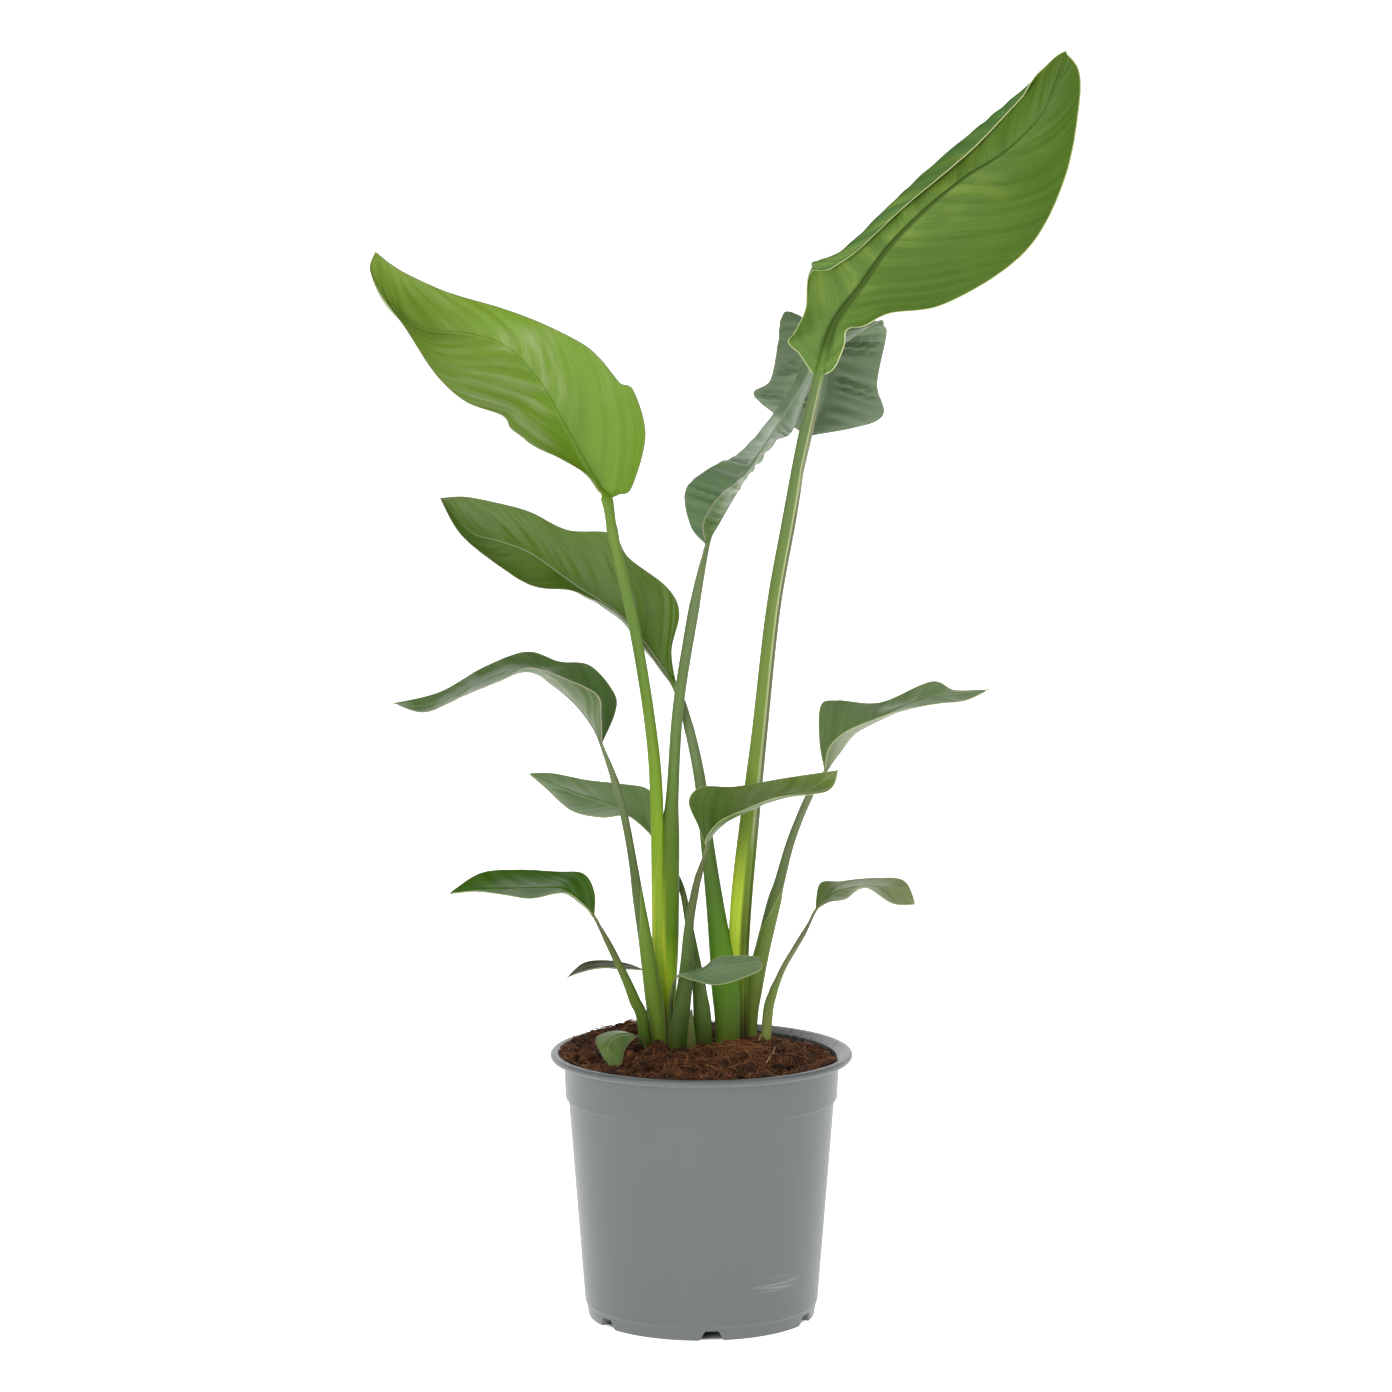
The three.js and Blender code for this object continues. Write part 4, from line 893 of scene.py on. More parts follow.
def leaf_rings(name, foliage, columns, steps):
    """Rings of points round the stalk and blade of one leaf, with its notes."""
    leaf, look = LEAVES[name], LOOKS[name]
    u, v, at, ahead, side, up = leaf_frame(leaf, steps)
    w, d = stalk_size(leaf, look, u, v)
    in_blade = ease(v, -0.6, 0.6)[:, None]
    blade = foliage.blade_thickness / MM
    lift = (1 - in_blade) * RIM_HEIGHT * d
    under = -in_blade * blade / 2

    def local(x, y):
        return at + side * x + up * y

    # The back of the stalk is round, and sinks into a soft keel under the blade.
    angles = np.linspace(0, math.pi, 15)
    reach = mix(0.5, KEEL_REACH, in_blade) * w
    deep = mix(0.5, KEEL_DEPTH, in_blade) * d
    soft = mix(1, 2, in_blade)
    keel = np.stack([local(reach * math.cos(a), under - deep * math.sin(a) ** soft) for a in angles], 1)
    shares = np.linspace(-1, 1, 9)[1:-1]
    depth = mix(CHANNEL_DEPTH * d, 0.1 * w + 0.1, in_blade)
    groove = np.stack([local(CHANNEL * w * k, lift - depth * (1 - k * k)) for k in shares], 1)
    (left, no_left), (right, no_right) = (
        half_blade(leaf, n, v, ahead, local((2 * n - 1) * CHANNEL * w, lift), columns) for n in (0, 1)
    )

    # The sheet runs from the left edge over the groove to the right edge.
    sheet = np.concatenate([left[:, ::-1], groove, right], 1)
    foot = left.shape[1]
    centre = foot + len(shares) // 2
    first_right = sheet.shape[1] - right.shape[1]
    column = np.arange(sheet.shape[1])
    run = walked(sheet)
    total, middle = run[:, -1:], run[:, centre:centre + 1]
    out = np.abs(run - middle)
    half = np.where(column < centre, middle, total - middle)
    share = out / np.maximum(half, 1e-6)
    edge = np.minimum(run, total - run)
    length = walked(at[None])[0]
    length = (length - np.interp(0, v, length))[:, None]
    vein = length - look["sweep"] * out * (1 + 0.5 * share)

    normal = np.cross(np.gradient(sheet, axis=1), np.gradient(sheet, axis=0))
    weak = np.linalg.norm(normal, axis=2) < 1e-7
    normal = unit(normal)
    normal[weak] = np.broadcast_to(up[:, None], sheet.shape)[weak]
    sheet = sheet + normal * folds(look, v, vein, share, half, column < centre)[:, :, None]

    # Half the blade's thickness, thinner to the edge and none over the groove.
    foot_run, right_run = run[:, foot - 1:foot], run[:, first_right:first_right + 1]
    beyond = np.where(column < foot, np.abs(run - foot_run), np.abs(run - right_run))
    thick = mix(blade / 2, blade / 3.4, ease(share, 0.5, 1.0)) * ease(beyond, -0.3, 1.2)
    thick[:, foot - 1:first_right + 1] = 0
    thick[no_left, :foot] = 0
    thick[no_right, first_right:] = 0
    upper = sheet + normal * thick[:, :, None]
    lower = sheet - normal * thick[:, :, None]

    ribs = np.where(w > 0, out / (CHANNEL * w), 0)
    ones = np.ones_like(out)
    place = np.stack([length * ones, vein, edge], 2)
    kind = np.stack([ones, in_blade * ones, ribs], 2)
    under_kind = kind * (-1, 1, 1)
    walk = walked(keel)
    ones = np.ones_like(walk)
    away = np.linalg.norm(keel[:, :1] - sheet[:, first_right:first_right + 1], axis=2)
    keel_edge = away + np.minimum(
        edge[:, first_right:first_right + 1] + walk, edge[:, foot - 1:foot] + walk[:, -1:] - walk
    )
    keel_place = np.stack([length * ones, length * ones, keel_edge], 2)
    keel_kind = np.stack([-ones, in_blade * ones, np.abs(np.cos(angles))[None] * ones], 2)
    right_back = slice(sheet.shape[1] - 1, first_right, -1)
    left_back = slice(foot - 2, None, -1)
    rings, places, kinds = (
        np.concatenate([over, back[:, right_back], round_it, back[:, left_back]], 1)
        for over, back, round_it in (
            (upper, lower, keel), (place, place, keel_place), (kind, under_kind, keel_kind),
        )
    )
    # Share of the way across the stalk, to the right and to the back, and the half of the blade.
    low, high = rings.min(1, keepdims=True), rings.max(1, keepdims=True)
    around = 2 * (rings - low) / np.maximum(high - low, 0.1) - 1
    around[:, :, 2] = 0
    around[:, :centre, 2] = -1
    around[:, centre + 1:sheet.shape[1] + right.shape[1] - 1, 2] = 1
    around[:, -(foot - 1):, 2] = -1
    return rings, {"leaf_place": places, "leaf_kind": kinds, "leaf_round": around}


def grow_leaf(name, foliage, columns, steps):
    """Builds one leaf, stalk and blade in one skin, in place of its solid."""
    look = LOOKS[name]
    rib = np.array(LEAVES[name]["rib"], float)
    span = float(np.linalg.norm(np.diff(rib, axis=0), axis=1).sum())
    finish = living_leaf_waxed(f"living_leaf_waxed_{name}", look, foliage, span)
    skin = closed_skin(*leaf_rings(name, foliage, columns, steps))
    new_piece(f"{name}_grown", *skin, finish, look["slot"], (name,))


def rounded(line, radius, cells=4):
    """Profile with each inner corner replaced by a small arc."""
    line = [np.array(p, float) for p in line]
    done = [line[0]]
    for before, corner, after in zip(line, line[1:], line[2:]):
        back, on = before - corner, after - corner
        size = min(radius, np.linalg.norm(back) * 0.4, np.linalg.norm(on) * 0.4)
        start, end = corner + unit(back) * size, corner + unit(on) * size
        for t in np.linspace(0, 1, cells):
            done.append(start * (1 - t) ** 2 + corner * 2 * t * (1 - t) + end * t * t)
    return done + [line[-1]]


def turned(profile, segments):
    """Closed rings round the upright axis from radius and height pairs."""
    angles = np.linspace(0, math.tau, segments, endpoint=False)
    rings = np.array([[(r * math.sin(a), -r * math.cos(a), z) for a in angles] for r, z in profile])
    points, faces, values = closed_skin(rings, {})
    return points, [face[::-1] for face in faces], values


def moulded_polypropylene(name, settings):
    """Grey polypropylene, injection moulded in a polished tool.

    It gives the eye a satin grey with slow clouds where the melt flowed, a
    fine grain, one handling scuff low down, and soil dust inside the rim. The
    grain is drawn about 1 mm wide, coarser than the real one, so that it shows.
    """
    material, node = new_finish(name, IOR=1.49)
    spot = node("TexCoord", output="Object")
    axes = node("SeparateXYZ", (spot,), output=None)
    # Clouds 70 mm wide, drawn out upwards, the way the melt ran.
    tall = node("Mapping", {"Vector": spot, "Scale": (9.0, 9.0, 3.0)})
    cloud = node("TexNoise", {"Vector": tall, "Scale": 1.6, "Detail": 4.0})
    grain = node("TexNoise", {"Vector": spot, "Scale": 1 / (1.11 * MM), "Detail": 2.0})
    body = under_grey(node, tuple(settings.colour), cloud, 0.3, 0.7, 0.95)

    # Scuff: pale lines about 45 mm long and 2 mm apart, almost level, where pots rub together.
    centre = Vector((46.0, -58.0, 33.0)) * MM
    level = node("Mapping", {"Vector": spot, "Rotation": (0.0, 0.3, 0.0), "Scale": (22.0, 22.0, 520.0)})
    lines = node("TexNoise", {"Vector": level, "Scale": 1.0, "Detail": 2.0})
    thin = node("MapRange", (lines, 0.44, 0.58))
    # It fades out 18 mm to the sides and 5 mm up and down from its centre.
    off = node("VectorMath", (spot, centre), LESS)
    off = node("VectorMath", (off, (56.0, 30.0, 190.0)), TIMES)
    near = node("MapRange", (node("VectorMath", (off,), LENGTH, "Value"), 1.0, 0.3))
    scuff = node("Math", (node("Math", (thin, near), TIMES), 0.6), TIMES)

    # Soil dust, on the inside above the soil only: specks about 4 mm wide.
    flat = node("CombineXYZ", (axes["X"], axes["Y"]))
    radius = node("VectorMath", (flat,), LENGTH, "Value")
    slope = node("MapRange", (axes["Z"], 165.4 * MM, 168.4 * MM, 85.6 * MM, 91.2 * MM))
    inside = node("Math", (radius, slope), {"operation": "LESS_THAN"})
    above = node("MapRange", (axes["Z"], 150 * MM, 160 * MM))
    specks = node("TexNoise", {"Vector": spot, "Scale": 1 / (3.85 * MM), "Detail": 4.0})
    dirt = node("MapRange", (specks, 0.52, 0.66))
    dust = node("Math", (node("Math", (inside, above), TIMES), dirt), TIMES)

    body = painted(node, body, (scuff, linear("#a9adac")), (dust, linear("#3b2a1e")))
    rough = node("MapRange", (cloud, 0.3, 0.7, 0.34, 0.42))
    bump = node("Bump", {"Strength": 0.2, "Distance": 0.05 * MM, "Height": grain})
    return finished(material, Base_Color=body, Roughness=rough, Normal=bump)


def loose_peat(name, settings):
    """Peat and coir, milled and damp.

    It gives the eye dark matt crumbs, with reddish clods 12 mm wide and grit
    of 2 to 3 mm.
    """
    material, node = new_finish(name, Roughness=0.94, Specular_IOR_Level=0.25)
    spot = node("TexCoord", output="Object")
    clod = node("TexNoise", {"Vector": spot, "Scale": 1 / (11.76 * MM), "Detail": 5.0})
    grit = node("TexVoronoi", {"Vector": spot, "Scale": 1 / (2.38 * MM)})
    stops = ((0.3, "#21120a"), (0.46, "#452916"), (0.6, "#6b4223"), (0.75, "#996338"))
    earth = node("ValToRGB", (clod,), stops=[(place, linear(c)) for place, c in stops])
    speck = node("MapRange", (grit, 0.0, 0.8, 0.65, 1.15))
    body = node("Mix", {0: 1.0, 6: earth, 7: speck}, PRODUCT, 2)
    body = node("Mix", {0: 1.0, 6: body, 7: tuple(settings.tint)}, PRODUCT, 2)
    bump = node("Bump", {"Strength": 0.8, "Distance": 0.8 * MM, "Height": clod})
    return finished(material, Base_Color=body, Normal=bump)


def combed_coir(name, settings):
    """Coconut husk fibre, retted and combed.

    It gives the eye wiry reddish brown threads, each of its own tone and
    slightly shiny, with darker joints drawn every 1.7 mm.
    """
    material, node = new_finish(name, Roughness=0.7)
    tone = node("Attribute", (), {"attribute_name": "fibre_tone"}, "Vector")
    stops = ((0.0, "#46260f"), (0.45, "#7f4a27"), (0.8, "#ad7040"), (1.0, "#cba06a"))
    part = node("SeparateXYZ", (tone,))
    body = node("ValToRGB", (part,), stops=[(place, linear(c)) for place, c in stops])
    spot = node("TexCoord", output="Object")
    joints = node("TexNoise", {"Vector": spot, "Scale": 1 / (1.67 * MM), "Detail": 2.0})
    body = under_grey(node, body, joints, 0.3, 0.7, 0.75)
    body = node("Mix", {0: 1.0, 6: body, 7: tuple(settings.tint)}, PRODUCT, 2)
    bump = node("Bump", {"Strength": 0.3, "Distance": 0.1 * MM, "Height": joints})
    return finished(material, Base_Color=body, Normal=bump)


def lit_opal_acrylic(name, settings):
    """Opal acrylic, cast, lit from below: an even white table without shadows.

    No glow where the pot stands: a painted shadow under the pot, seen through the notches in its foot.
    """
    material, node = new_finish(name, Roughness=0.6, Emission_Color=(1.0, 1.0, 1.0, 1.0))
    spot = node("TexCoord", output="Object")
    haze = node("TexNoise", {"Vector": spot, "Scale": 1 / (25 * MM), "Detail": 3.0})
    body = under_grey(node, tuple(settings.floor_colour), haze, 0.3, 0.7, 0.985)
    flat = node("VectorMath", (spot, (1.0, 1.0, 0.0)), TIMES)
    radius = node("VectorMath", (flat,), LENGTH, "Value")
    # Painted shadow: the glow stops within 66 mm of the middle, under the pot.
    lit = node("MapRange", (radius, 66 * MM, 70 * MM, 0.0, settings.floor_light))
    return finished(material, Base_Color=body, Emission_Strength=lit)


def soil_reach(x, y):
    """Radius and height of the soil's outer edge on the side of x and y.

    It lies on the sloping inside of the rim, but for a dip at the back right.
    """
    away = abs(math.remainder(math.atan2(y, x) - math.radians(28), math.tau))
    full = float(ease(away, math.radians(26), math.radians(52)))
    return mix(RIM_FOOT[0], RIM_TOP[0], full), mix(RIM_FOOT[1], RIM_TOP[1], full)


def soil_top(x, y):
    """Height in millimetres of the loose coir and peat over the floor.

    It has a heap at the back left, a dip at the back right, soft lumps all
    over and a trough along the rim.
    """
    reach, rim = soil_reach(x, y)
    r = math.hypot(x, y) / reach
    heap = 6 * math.exp(-(((x + 48) / 26) ** 2) - ((y - 62) / 24) ** 2)
    dip = 3 * math.exp(-(((x - 58) / 26) ** 2) - ((y - 50) / 26) ** 2)
    lumps = 1.1 * math.sin(x * 0.19 + 1.3) * math.cos(y * 0.23) + 0.7 * math.sin(x * 0.41 - y * 0.37 + 0.6)
    trough = 3 * math.exp(-(((r - 0.84) / 0.1) ** 2))
    return mix(171, rim, r ** 4) - trough + (lumps + heap - dip) * (1 - 0.6 * r ** 6)


def crumbly_top(x, y):
    """The soil's height with its clods and crumbs."""
    rough = 0
    # Clods, crumbs and grit: width and height in millimetres.
    for size, tall in ((15, 2.6), (6.5, 2.6), (2.8, 1.5)):
        rough += tall * noise.noise(Vector((x / size, y / size, size)))
    return soil_top(x, y) + rough * min(1, 0.15 + (soil_reach(x, y)[0] - math.hypot(x, y)) / 7)


def stalk_places():
    """Where the stalks pass the soil: centre and radius in millimetres."""
    places = []
    for leaf in LEAVES.values():
        stem = np.array(leaf["stem"], float)
        at = np.interp(SOIL_LEVEL, stem[:, 2], np.arange(len(stem)))
        row = along(stem, np.array([at]))[0]
        places.append((row[0], row[1], max(row[3:]) / 2))
    return places


def open_spot(rng, reach, size, stalks):
    """A random place on the soil, clear of the stalks."""
    while True:
        r, a = reach * math.sqrt(rng.random()), rng.random() * math.tau
        x, y = r * math.cos(a), r * math.sin(a)
        if all(math.hypot(x - sx, y - sy) > sr + size for sx, sy, sr in stalks):
            return x, y


def tube(points, radii, sides=4):
    """Points and faces of a thin closed tube along a line."""
    points = np.array(points, float)
    ahead = unit(np.gradient(points, axis=0))
    # Any direction that no fibre runs along gives the first of the two sides.
    across = unit(np.cross(ahead, (0.31, 0.17, 0.93)))
    over = np.cross(ahead, across)
    angles = np.arange(sides) * math.tau / sides
    rings = np.stack([
        points + (across * math.cos(a) + over * math.sin(a)) * np.array(radii)[:, None] for a in angles
    ], 1)
    count = len(points)
    faces = []
    for i in range(count - 1):
        for k in range(sides):
            n = (k + 1) % sides
            faces.append((i * sides + k, i * sides + n, (i + 1) * sides + n, (i + 1) * sides + k))
    faces.append(tuple(range(sides))[::-1])
    faces.append(tuple((count - 1) * sides + k for k in range(sides)))
    return rings.reshape(-1, 3), faces


class Heap:
    """Gathers many small closed shapes into the mesh of one piece."""

    def __init__(self):
        self.points, self.faces, self.tones = [], [], []

    def put(self, points, faces, tone):
        start = len(self.points)
        self.points += [tuple(p) for p in points]
        self.faces += [[start + i for i in face] for face in faces]
        self.tones += [(tone, 0.0, 0.0)] * len(points)


def fibre_line(x, y, heading, length, rng, arch):
    """A wiry fibre that lies on the soil and lifts a little between its ends."""
    line = []
    bend = rng.uniform(-1.0, 1.0)
    step = length / (FIBRE_POINTS - 1)
    for i in range(FIBRE_POINTS):
        t = i / (FIBRE_POINTS - 1)
        if i:
            x += math.cos(heading) * step
            y += math.sin(heading) * step
        heading += bend * 1.3 / FIBRE_POINTS + rng.uniform(-0.2, 0.2)
        r, most = math.hypot(x, y), soil_reach(x, y)[0] - 0.8
        if r > most:
            x, y = x * most / r, y * most / r
        line.append((x, y, crumbly_top(x, y) + 0.15 + arch * math.sin(t * math.pi)))
    return line


def strew_fibres(settings):
    """Coir fibres over the soil, with the combed tuft in front of the stalks."""
    rng = random.Random(7)
    stalks = stalk_places()
    heap = Heap()
    for _ in range(settings.fibres):
        x, y = open_spot(rng, FIBRE_FIELD, 0.5, stalks)
        length = rng.uniform(5, 18)
        line = fibre_line(x, y, rng.random() * math.tau, length, rng, rng.uniform(0.2, 2.6))
        thick = rng.uniform(0.15, 0.34)
        radii = thick * (0.5 + 0.5 * np.sin(math.pi * np.linspace(0.15, 0.85, FIBRE_POINTS)))
        heap.put(*tube(line, radii), rng.random() ** 1.4 * 0.85)
    # The tuft: fibres side by side, fanning out to the front right.
    for _ in range(settings.fibres // 7):
        x, y = 10 + rng.gauss(0, 5), -14 + rng.gauss(0, 7)
        line = fibre_line(x, y, rng.gauss(-0.5, 0.2), rng.uniform(20, 38), rng, rng.uniform(1.0, 5.0))
        heap.put(*tube(line, [rng.uniform(0.16, 0.3)] * FIBRE_POINTS), rng.uniform(0.4, 0.85))
    # Two dry straws.
    for start, end in (((46, -14), (40, -47)), ((37, 26), (35, 12))):
        line = [
            (mix(start[0], end[0], t) + 1.2 * math.sin(t * 3), mix(start[1], end[1], t),
             crumbly_top(mix(start[0], end[0], t), mix(start[1], end[1], t)) + 1.0 + 1.6 * math.sin(t * 3))
            for t in np.linspace(0, 1, FIBRE_POINTS)
        ]
        heap.put(*tube(line, [0.45] * FIBRE_POINTS, 6), 1.0)
    return heap


def strew_crumbs(settings):
    """Clods of peat from one to five millimetres, each of its own shape."""
    rng = random.Random(11)
    stalks = stalk_places()
    made = bmesh.new()
    bmesh.ops.create_icosphere(made, subdivisions=2, radius=1.0)
    blank = np.array([v.co[:] for v in made.verts])
    faces = [[v.index for v in f.verts] for f in made.faces]
    made.free()
    heap = Heap()
    for _ in range(settings.crumbs):
        size = 0.7 + 2.9 * rng.random() ** 2.5
        x, y = open_spot(rng, CRUMB_FIELD, size, stalks)
        if math.hypot(x, y) > soil_reach(x, y)[0] - 3:
            continue
        turn = Matrix.Rotation(rng.random() * math.tau, 3, "Z")
        turn = turn @ Matrix.Rotation(rng.uniform(-0.6, 0.6), 3, "X")
        stretch = np.array((rng.uniform(0.8, 1.6), rng.uniform(0.7, 1.1), rng.uniform(0.5, 0.9)))
        seed = rng.random() * 90
        bumps = np.array([1 + 0.55 * noise.noise(Vector(p) * 1.7 + Vector((seed, 0, 0))) for p in blank])
        points = (blank * bumps[:, None] * stretch * size) @ np.array(turn).T
        points += (x, y, crumbly_top(x, y) + size * 0.15)
        heap.put(points, faces, rng.random())
    return heap


def soil_body(rings=80, segments=240):
    """The soil as one closed body that fills the pot up to its crumbly top."""
    spokes = []
    for a in np.linspace(0, math.tau, segments, endpoint=False):
        c, s = math.sin(a), -math.cos(a)
        reach, rim = soil_reach(c, s)
        # Under the edge the side steps out by up to 0.8 mm, as the rim does.
        out = RIM_FOOT[0] + 0.8 * (reach - RIM_FOOT[0]) / (RIM_TOP[0] - RIM_FOOT[0])
        spoke = [(r * c, r * s, z) for r, z in (*SOIL_SIDE, (out, min(rim, 165.4)))]
        for i in range(rings + 1):
            r = reach * (1 - i / rings)
            spoke.append((r * c, r * s, crumbly_top(r * c, r * s)))
        spokes.append(spoke)
    points, faces, values = closed_skin(np.array(spokes).swapaxes(0, 1), {})
    return points, [face[::-1] for face in faces], values


class PotSettings(bpy.types.PropertyGroup):
    """Sizes and colour of the nursery pot."""

    colour: bpy.props.FloatVectorProperty(
        name="Pot colour", description="Colour of the moulded plastic", subtype="COLOR", size=4,
        min=0.0, max=1.0, default=linear("#666b6b"),
    )
    edge_radius: bpy.props.FloatProperty(
        name="Edge radius", description="Rounding of the moulded edges", unit="LENGTH", default=0.6 * MM,
    )
    segments: bpy.props.IntProperty(
        name="Segments", description="Faces round the pot", default=192, min=24,
    )


class SoilSettings(bpy.types.PropertyGroup):
    """Make-up of the potting mix."""

    tint: bpy.props.FloatVectorProperty(
        name="Soil tint", description="Tint over the whole potting mix", subtype="COLOR", size=4,
        min=0.0, max=1.0, default=linear("#ffffff"),
    )
    fibres: bpy.props.IntProperty(
        name="Fibres", description="Number of coir fibres", default=2100, min=0,
    )
    crumbs: bpy.props.IntProperty(
        name="Crumbs", description="Number of peat crumbs", default=700, min=0,
    )


class FoliageSettings(bpy.types.PropertyGroup):
    """Sizes and colours that all leaves share."""

    blade_thickness: bpy.props.FloatProperty(
        name="Blade thickness", description="Thickness of a blade beside its midrib", unit="LENGTH",
        default=0.85 * MM,
    )
    vein_spacing: bpy.props.FloatProperty(
        name="Vein spacing", description="Distance between side veins", unit="LENGTH", default=2.6 * MM,
    )
    margin_width: bpy.props.FloatProperty(
        name="Margin width", description="Width of the pale edge line", unit="LENGTH", default=0.75 * MM,
    )
    vein_colour: bpy.props.FloatVectorProperty(
        name="Vein colour", description="Colour of the side veins", subtype="COLOR", size=4,
        min=0.0, max=1.0, default=linear("#b4c48a"),
    )


class StudioSettings(bpy.types.PropertyGroup):
    """Floor, light and camera."""

    floor_colour: bpy.props.FloatVectorProperty(
        name="Floor colour", description="Colour of the opal acrylic", subtype="COLOR", size=4,
        min=0.0, max=1.0, default=linear("#fafafa"),
    )
    floor_light: bpy.props.FloatProperty(
        name="Floor light", description="Strength of the light under the floor", default=0.92, min=0.0,
    )
    sky: bpy.props.FloatProperty(
        name="Fill light", description="Strength of the even light all round", default=0.24, min=0.0,
    )
    camera_place: bpy.props.FloatVectorProperty(
        name="Camera place", description="Where the camera stands", subtype="TRANSLATION", unit="LENGTH",
        default=(-3.46 * MM, -2821 * MM, 742 * MM),
    )
    camera_tilt: bpy.props.FloatProperty(
        name="Camera tilt", description="How far the camera looks down", subtype="ANGLE",
        default=math.radians(7.05),
    )
    lens: bpy.props.FloatProperty(
        name="Lens", description="Focal length in millimetres", default=117.93, min=1.0,
    )


class PLANT_OT_pot(bpy.types.Operator):
    """Build the moulded nursery pot with its notched foot"""

    bl_idname = "plant.pot"
    bl_label = "Nursery Pot"

    def execute(self, context):
        settings = context.scene.plant_pot
        finish = moulded_polypropylene("moulded_polypropylene_grey", settings)
        profile = rounded(POT_OUTSIDE + POT_INSIDE, settings.edge_radius / MM)
        skin = turned(profile, settings.segments)
        pot = new_piece("pot_moulded", *skin, finish, "pot", ("pot",), crease=POT_CREASE)
        cutters = []
        for i in range(NOTCHES):
            corners = [(x, y, z) for y in (-64, -84) for x, z in NOTCH]
            faces = [(3, 2, 1, 0), (4, 5, 6, 7), (1, 5, 4, 0), (2, 6, 5, 1), (3, 7, 6, 2), (0, 4, 7, 3)]
            mesh = bpy.data.meshes.new(f"notch_{i}")
            mesh.from_pydata([(x * MM, y * MM, z * MM) for x, y, z in corners], [], faces)
            mesh.transform(Matrix.Rotation(math.radians(NOTCH_TURN + 360 / NOTCHES * i), 4, "Z"))
            wedge = bpy.data.objects.new(f"notch_{i}", mesh)
            context.collection.objects.link(wedge)
            cut = pot.modifiers.new(f"notch_{i}", "BOOLEAN")
            cut.operation, cut.solver, cut.object = "DIFFERENCE", "EXACT", wedge
            cutters.append(wedge)
        seen = pot.evaluated_get(context.evaluated_depsgraph_get())
        cut_mesh = bpy.data.meshes.new_from_object(seen)
        pot.modifiers.clear()
        pot.data = cut_mesh
        cut_mesh.name = "pot_moulded"
        cut_mesh.set_sharp_from_angle(angle=math.radians(POT_CREASE))
        for wedge in cutters:
            bpy.data.objects.remove(wedge)
        if len(cut_mesh.polygons) < 1000:
            raise RuntimeError("the pot lost its faces when the notches were cut")
        return {"FINISHED"}


class PLANT_OT_soil(bpy.types.Operator):
    """Fill the pot with peat and coir"""

    bl_idname = "plant.soil"
    bl_label = "Potting Mix"

    def execute(self, context):
        settings = context.scene.plant_soil
        peat = loose_peat("milled_peat_damp", settings)
        new_piece("soil_milled", *soil_body(), peat, "soil", ("soil",), crease=ALL_SMOOTH)
        crumbs = strew_crumbs(settings)
        notes = {"fibre_tone": crumbs.tones}
        new_piece("soil_crumbs", crumbs.points, crumbs.faces, notes, peat, "soil", crease=60)
        return {"FINISHED"}


class PLANT_OT_fibres(bpy.types.Operator):
    """Strew coir fibres and straws over the soil"""

    bl_idname = "plant.fibres"
    bl_label = "Coir Fibres"

    def execute(self, context):
        settings = context.scene.plant_soil
        coir = combed_coir("combed_coir_brown", settings)
        heap = strew_fibres(settings)
        notes = {"fibre_tone": heap.tones}
        new_piece("soil_coir_fibres", heap.points, heap.faces, notes, coir, "soil", crease=ALL_SMOOTH)
        return {"FINISHED"}


class PLANT_OT_tall_leaves(bpy.types.Operator):
    """Grow the four tall leaves"""

    bl_idname = "plant.tall_leaves"
    bl_label = "Tall Leaves"

    def execute(self, context):
        for name in TALL_LEAVES:
            grow_leaf(name, context.scene.plant_foliage, columns=30, steps=14)
        return {"FINISHED"}


class PLANT_OT_side_leaves(bpy.types.Operator):
    """Grow the leaves at middle height"""

    bl_idname = "plant.side_leaves"
    bl_label = "Side Leaves"

    def execute(self, context):
        for name in SIDE_LEAVES:
            grow_leaf(name, context.scene.plant_foliage, columns=18, steps=12)
        return {"FINISHED"}


class PLANT_OT_young_leaves(bpy.types.Operator):
    """Grow the small leaves near the soil"""

    bl_idname = "plant.young_leaves"
    bl_label = "Young Leaves"

    def execute(self, context):
        for name in YOUNG_LEAVES:
            grow_leaf(name, context.scene.plant_foliage, columns=14, steps=10)
        return {"FINISHED"}


class PLANT_OT_shoot(bpy.types.Operator):
    """Grow the pointed shoot at the foot"""

    bl_idname = "plant.shoot"
    bl_label = "Young Shoot"

    def execute(self, context):
        rows = along(np.array(SHOOT, float), np.linspace(0, len(SHOOT) - 1, 33))
        angles = np.linspace(0, math.tau, 20, endpoint=False)
        # One side is folded in along the shoot, where its sheath overlaps.
        overlap = 4.4
        fold = 1 - 0.22 * np.exp(-(((angles - overlap) / 0.35) ** 2))
        rings = np.array([
            [(x + r * f * math.cos(a), y + r * f * math.sin(a), z) for a, f in zip(angles, fold)]
            for x, y, z, r in rows
        ])
        edge = np.abs(angles - overlap)[None, :, None] * rows[:, None, 3:]
        length = np.broadcast_to(rows[:, None, 2:3] - 200, edge.shape)
        notes = {
            "leaf_place": np.concatenate([length, length, edge], 2),
            "leaf_kind": np.concatenate([-np.ones_like(edge), np.zeros_like(edge), np.ones_like(edge)], 2),
            "leaf_round": np.zeros_like(rings),
        }
        look = LOOKS["young_shoot"]
        finish = living_leaf_waxed("living_leaf_waxed_shoot", look, context.scene.plant_foliage, 1.0)
        new_piece("young_shoot_grown", *closed_skin(rings, notes), finish, look["slot"], ("young_shoot",))
        return {"FINISHED"}


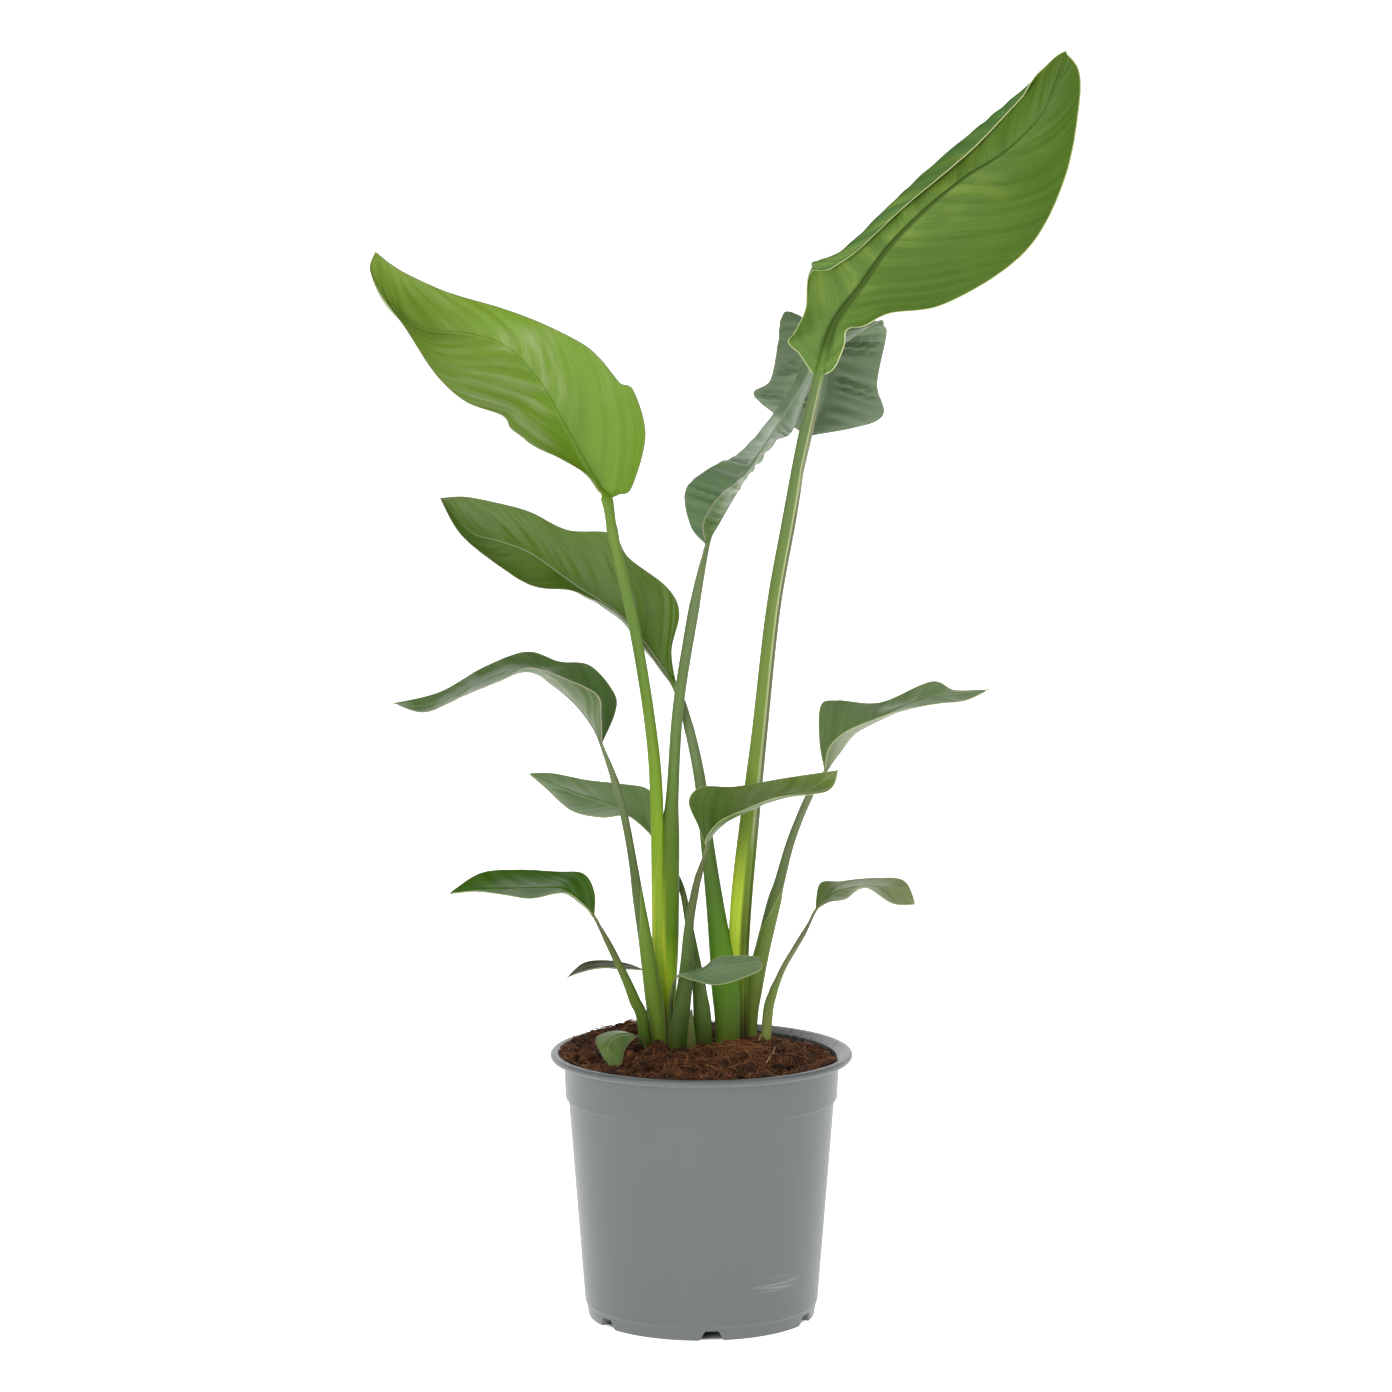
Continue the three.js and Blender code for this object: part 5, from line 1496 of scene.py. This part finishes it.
class PLANT_OT_stage(bpy.types.Operator):
    """Set up the pale floor, the soft light and the camera"""

    bl_idname = "plant.stage"
    bl_label = "Studio"

    def execute(self, context):
        studio = context.scene.plant_studio
        # Floor that sweeps up behind the plant in one curve.
        line = [(-4.0, 0.0), (2.2, 0.0)]
        for t in np.linspace(0.1, math.pi / 2, 12):
            line.append((2.2 + 1.2 * math.sin(t), 1.2 - 1.2 * math.cos(t)))
        line += [(3.4, 4.5)]
        points = [(x, y, z) for y, z in line for x in (-5.0, 5.0)]
        faces = [(2 * i, 2 * i + 1, 2 * i + 3, 2 * i + 2) for i in range(len(line) - 1)]
        mesh = bpy.data.meshes.new("floor_sweep")
        mesh.from_pydata(points, [], faces)
        mesh.shade_smooth()
        mesh.materials.append(lit_opal_acrylic("opal_acrylic_cast", studio))
        floor = bpy.data.objects.new("floor_sweep", mesh)
        context.collection.objects.link(floor)

        world = bpy.data.worlds.new("even_light")
        world.use_nodes = True
        world.node_tree.nodes["Background"].inputs["Color"].default_value = (1.0, 1.0, 1.0, 1.0)
        world.node_tree.nodes["Background"].inputs["Strength"].default_value = studio.sky
        context.scene.world = world
        context.scene.view_settings.view_transform = "Standard"

        # Name, place and size in metres, and power in watts.
        softboxes = (
            ("softbox_key", (-1.1, -2.7, 1.3), 1.6, 30.0),
            ("softbox_fill", (2.3, -1.7, 1.0), 1.6, 9.0),
            ("softbox_top", (0.2, -0.6, 2.9), 2.2, 12.0),
        )
        for name, place, size, power in softboxes:
            lamp = bpy.data.lights.new(name, "AREA")
            lamp.shape, lamp.size, lamp.energy = "SQUARE", size, power
            box = bpy.data.objects.new(name, lamp)
            box.location = place
            box.rotation_euler = (Vector((0, 0, 0.4)) - Vector(place)).to_track_quat("-Z", "Y").to_euler()
            context.collection.objects.link(box)

        lens = bpy.data.cameras.new("camera")
        lens.lens = studio.lens
        lens.sensor_width = 36.0
        lens.clip_start, lens.clip_end = 0.05, 30.0
        camera = bpy.data.objects.new("camera", lens)
        camera.location = studio.camera_place
        camera.rotation_euler = (math.radians(90) - studio.camera_tilt, 0.0, 0.0)
        context.collection.objects.link(camera)
        context.scene.camera = camera
        return {"FINISHED"}


class PLANT_PT_panel(bpy.types.Panel):
    """Lists the steps and the sizes of the potted plant"""

    bl_idname = "PLANT_PT_panel"
    bl_label = "Potted Plant"
    bl_space_type = "VIEW_3D"
    bl_region_type = "UI"
    bl_category = "Plant"

    def draw(self, context):
        column = self.layout.column(align=True)
        for step in STEPS:
            column.operator(step.bl_idname)
        for key, group in GROUPS.items():
            box = self.layout.box()
            for name in group.__annotations__:
                box.prop(getattr(context.scene, key), name)


GROUPS = {
    "plant_pot": PotSettings,
    "plant_soil": SoilSettings,
    "plant_foliage": FoliageSettings,
    "plant_studio": StudioSettings,
}
STEPS = (
    PLANT_OT_stage, PLANT_OT_pot, PLANT_OT_soil, PLANT_OT_fibres, PLANT_OT_tall_leaves,
    PLANT_OT_side_leaves, PLANT_OT_young_leaves, PLANT_OT_shoot,
)


def register():
    for group in (*GROUPS.values(), *STEPS, PLANT_PT_panel):
        bpy.utils.register_class(group)
    for key, group in GROUPS.items():
        setattr(bpy.types.Scene, key, bpy.props.PointerProperty(type=group))


def unregister():
    for key in GROUPS:
        delattr(bpy.types.Scene, key)
    for group in (PLANT_PT_panel, *reversed(STEPS), *GROUPS.values()):
        bpy.utils.unregister_class(group)


def main():
    register()
    for step in STEPS:
        getattr(bpy.ops.plant, step.bl_idname.split(".")[1])()


if __name__ == "__main__":
    main()
